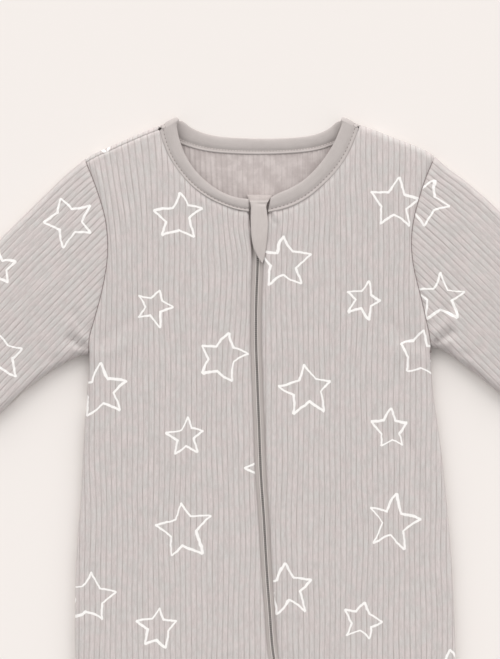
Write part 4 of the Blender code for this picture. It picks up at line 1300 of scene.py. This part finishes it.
left, right, low, high = boxSides("zip_slider")
middle, top = (left + right)/2, loft - 0.6
under, bridge = top - metalLook["gap"], top + metalLook["bridge"]
shield = softBox(left, right, low, high, 1.4, 0.62)
neckPost = softBox(middle - 0.9, middle + 0.9, high - 2.6, high - 0.6, 0.5)
lowFoot = softBox(middle - 0.8, middle + 0.8, low + 1.6, low + 2.8, 0.5)
highFoot = softBox(middle - 0.8, middle + 0.8, high - 2.6, high - 1.4, 0.5)
bar = softBox(middle - 0.8, middle + 0.8, low + 1.6, high - 1.4, 0.5)
sliderBody = metalPiece("sliderBody", [
    ([shield], top, top + metalLook["plate"]), ([shield], under - metalLook["plate"], under),
    ([neckPost], under - 0.1, top + 0.1), ([lowFoot], top + 0.7, bridge), ([highFoot], top + 0.7, bridge),
    ([bar], top + 1.3, bridge)], metalMaterial)
left, right, low, high = boxSides("zip_pull")
middle, under = (left + right)/2, loft + 1.3
eye = softBox(middle - 1.2, middle + 1.2, high - 4.2, high - 1.2, metalLook["eye"])
sliderPull = metalPiece("sliderPull", [
    ([softBox(left, right, low, high, 1.6), eye], under, under + metalLook["pull"])], metalMaterial)
left, right, low, high = boxSides("zip_bottom_stop")
bottomStop = metalPiece("bottomStop", [
    ([softBox(left, right, low, high, 0.5)], loft - 2.4, loft - 0.5),
    ([softBox(left + 0.5, right - 0.5, low - 0.4, high + 0.4, 0.5)], loft - 2.6, loft - 0.9)], metalMaterial)

hemRuns = []
for sleeve in (sleeveLeft, sleeveRight):
    start, along, across, reach = sleeveFrame(sleeve)[:4]
    w = np.linspace(cuffLook["hemStart"], cuffLook["hemEnd"], 40)
    x = start[0] + along[0]*(reach - cuffLook["hem"]) + across[0]*w
    down = start[1] + along[1]*(reach - cuffLook["hem"]) + across[1]*w
    hemRuns.append(np.stack([x, down, topHeight(x, down, "sleeve") + 0.12], 1))
    hemRuns.append(np.stack([x, down, underHeight(x, down, "sleeve") + 0.15], 1))
hemStitches = setAlong("cuffStitches", hemRuns, stitchLook["hemPitch"], stitchLook["hemSize"], threadMaterial)
print("stitches and teeth made")

# table of pieces
stands = dict(
    ribbed_knit=[(frontLeft, "front_left"), (frontRight, "front_right"), (back, "back"),
                 (leftSleeve, "sleeve_left"), (rightSleeve, "sleeve_right")],
    plain_jersey=[(neckband, "neckband"), (guard, "zip_guard"), (soles[0][0], "sole_left"),
                  (soles[1][0], "sole_right")],
    zip_tape=[(tapes[0][0], "zip_tape_left"), (tapes[1][0], "zip_tape_right")],
    zip_teeth=[(zipTeeth, "zip_chain")],
    slider_metal=[(sliderBody, "zip_slider"), (sliderPull, "zip_pull"), (bottomStop, "zip_bottom_stop")])
for finish, group in stands.items():
    for piece, node in group:
        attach(piece, "root")
        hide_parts(node)
for piece, finish in ((bandStitches, "plain_jersey"), (backBandStitches, "plain_jersey"),
                      (hemStitches, "ribbed_knit"), (armholeSeamShade, "ribbed_knit"), (zipSlitShade, "zip_teeth")):
    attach(piece, "root")

print("table of pieces set")

# floor, light and camera
stageLook = dict(floor=(0.84, 0.80, 0.775), half=40.0, world=(1.0, 0.99, 0.98), worldStrength=0.59,
                 key=1.62, keyColour=(1.0, 0.985, 0.97), softness=52.0, lean=-61.0, swings=(-38.0, 32.0),
                 lens=100.0, sensor=36.0, camera=(-0.007, 0.1635, 1.349))
half = stageLook["half"]
floorMesh = bpy.data.meshes.new("floor")
floorCorners = [(-half, -half, 0), (half, -half, 0), (half, half, 0), (-half, half, 0)]
floorMesh.from_pydata(floorCorners, [], [(0, 1, 2, 3)])
floor = addObject("floor", floorMesh)
floorMaterial, _, floorShader = newMaterial("paleFloor", 0.9)
floorShader.inputs["Base Color"].default_value = (*stageLook["floor"], 1.0)
floorShader.inputs["Specular IOR Level"].default_value = 0.2
floorMesh.materials.append(floorMaterial)

sun = bpy.data.lights.new("keyLight", "SUN")
sun.energy = stageLook["key"]
sun.angle = math.radians(stageLook["softness"])
sun.color = stageLook["keyColour"]
for swing in stageLook["swings"]:      # two wide lights from above the neck, one from each side
    lamp = addObject("keyLight", sun)
    lamp.rotation_euler = (math.radians(stageLook["lean"]), 0.0, math.radians(swing))
world = bpy.data.worlds.new("studio")
bpy.context.scene.world = world
world.use_nodes = True
background = world.node_tree.nodes["Background"]
background.inputs["Color"].default_value = (*stageLook["world"], 1.0)
background.inputs["Strength"].default_value = stageLook["worldStrength"]

cameraData = bpy.data.cameras.new("mainCamera")
cameraData.lens = stageLook["lens"]
cameraData.sensor_width = stageLook["sensor"]
camera = addObject("mainCamera", cameraData)
camera.location = stageLook["camera"]
camera.rotation_euler = (0.0, 0.0, 0.0)      # straight down
bpy.context.scene.camera = camera
bpy.context.scene.view_settings.view_transform = "Standard"
print("stage, light and camera made")
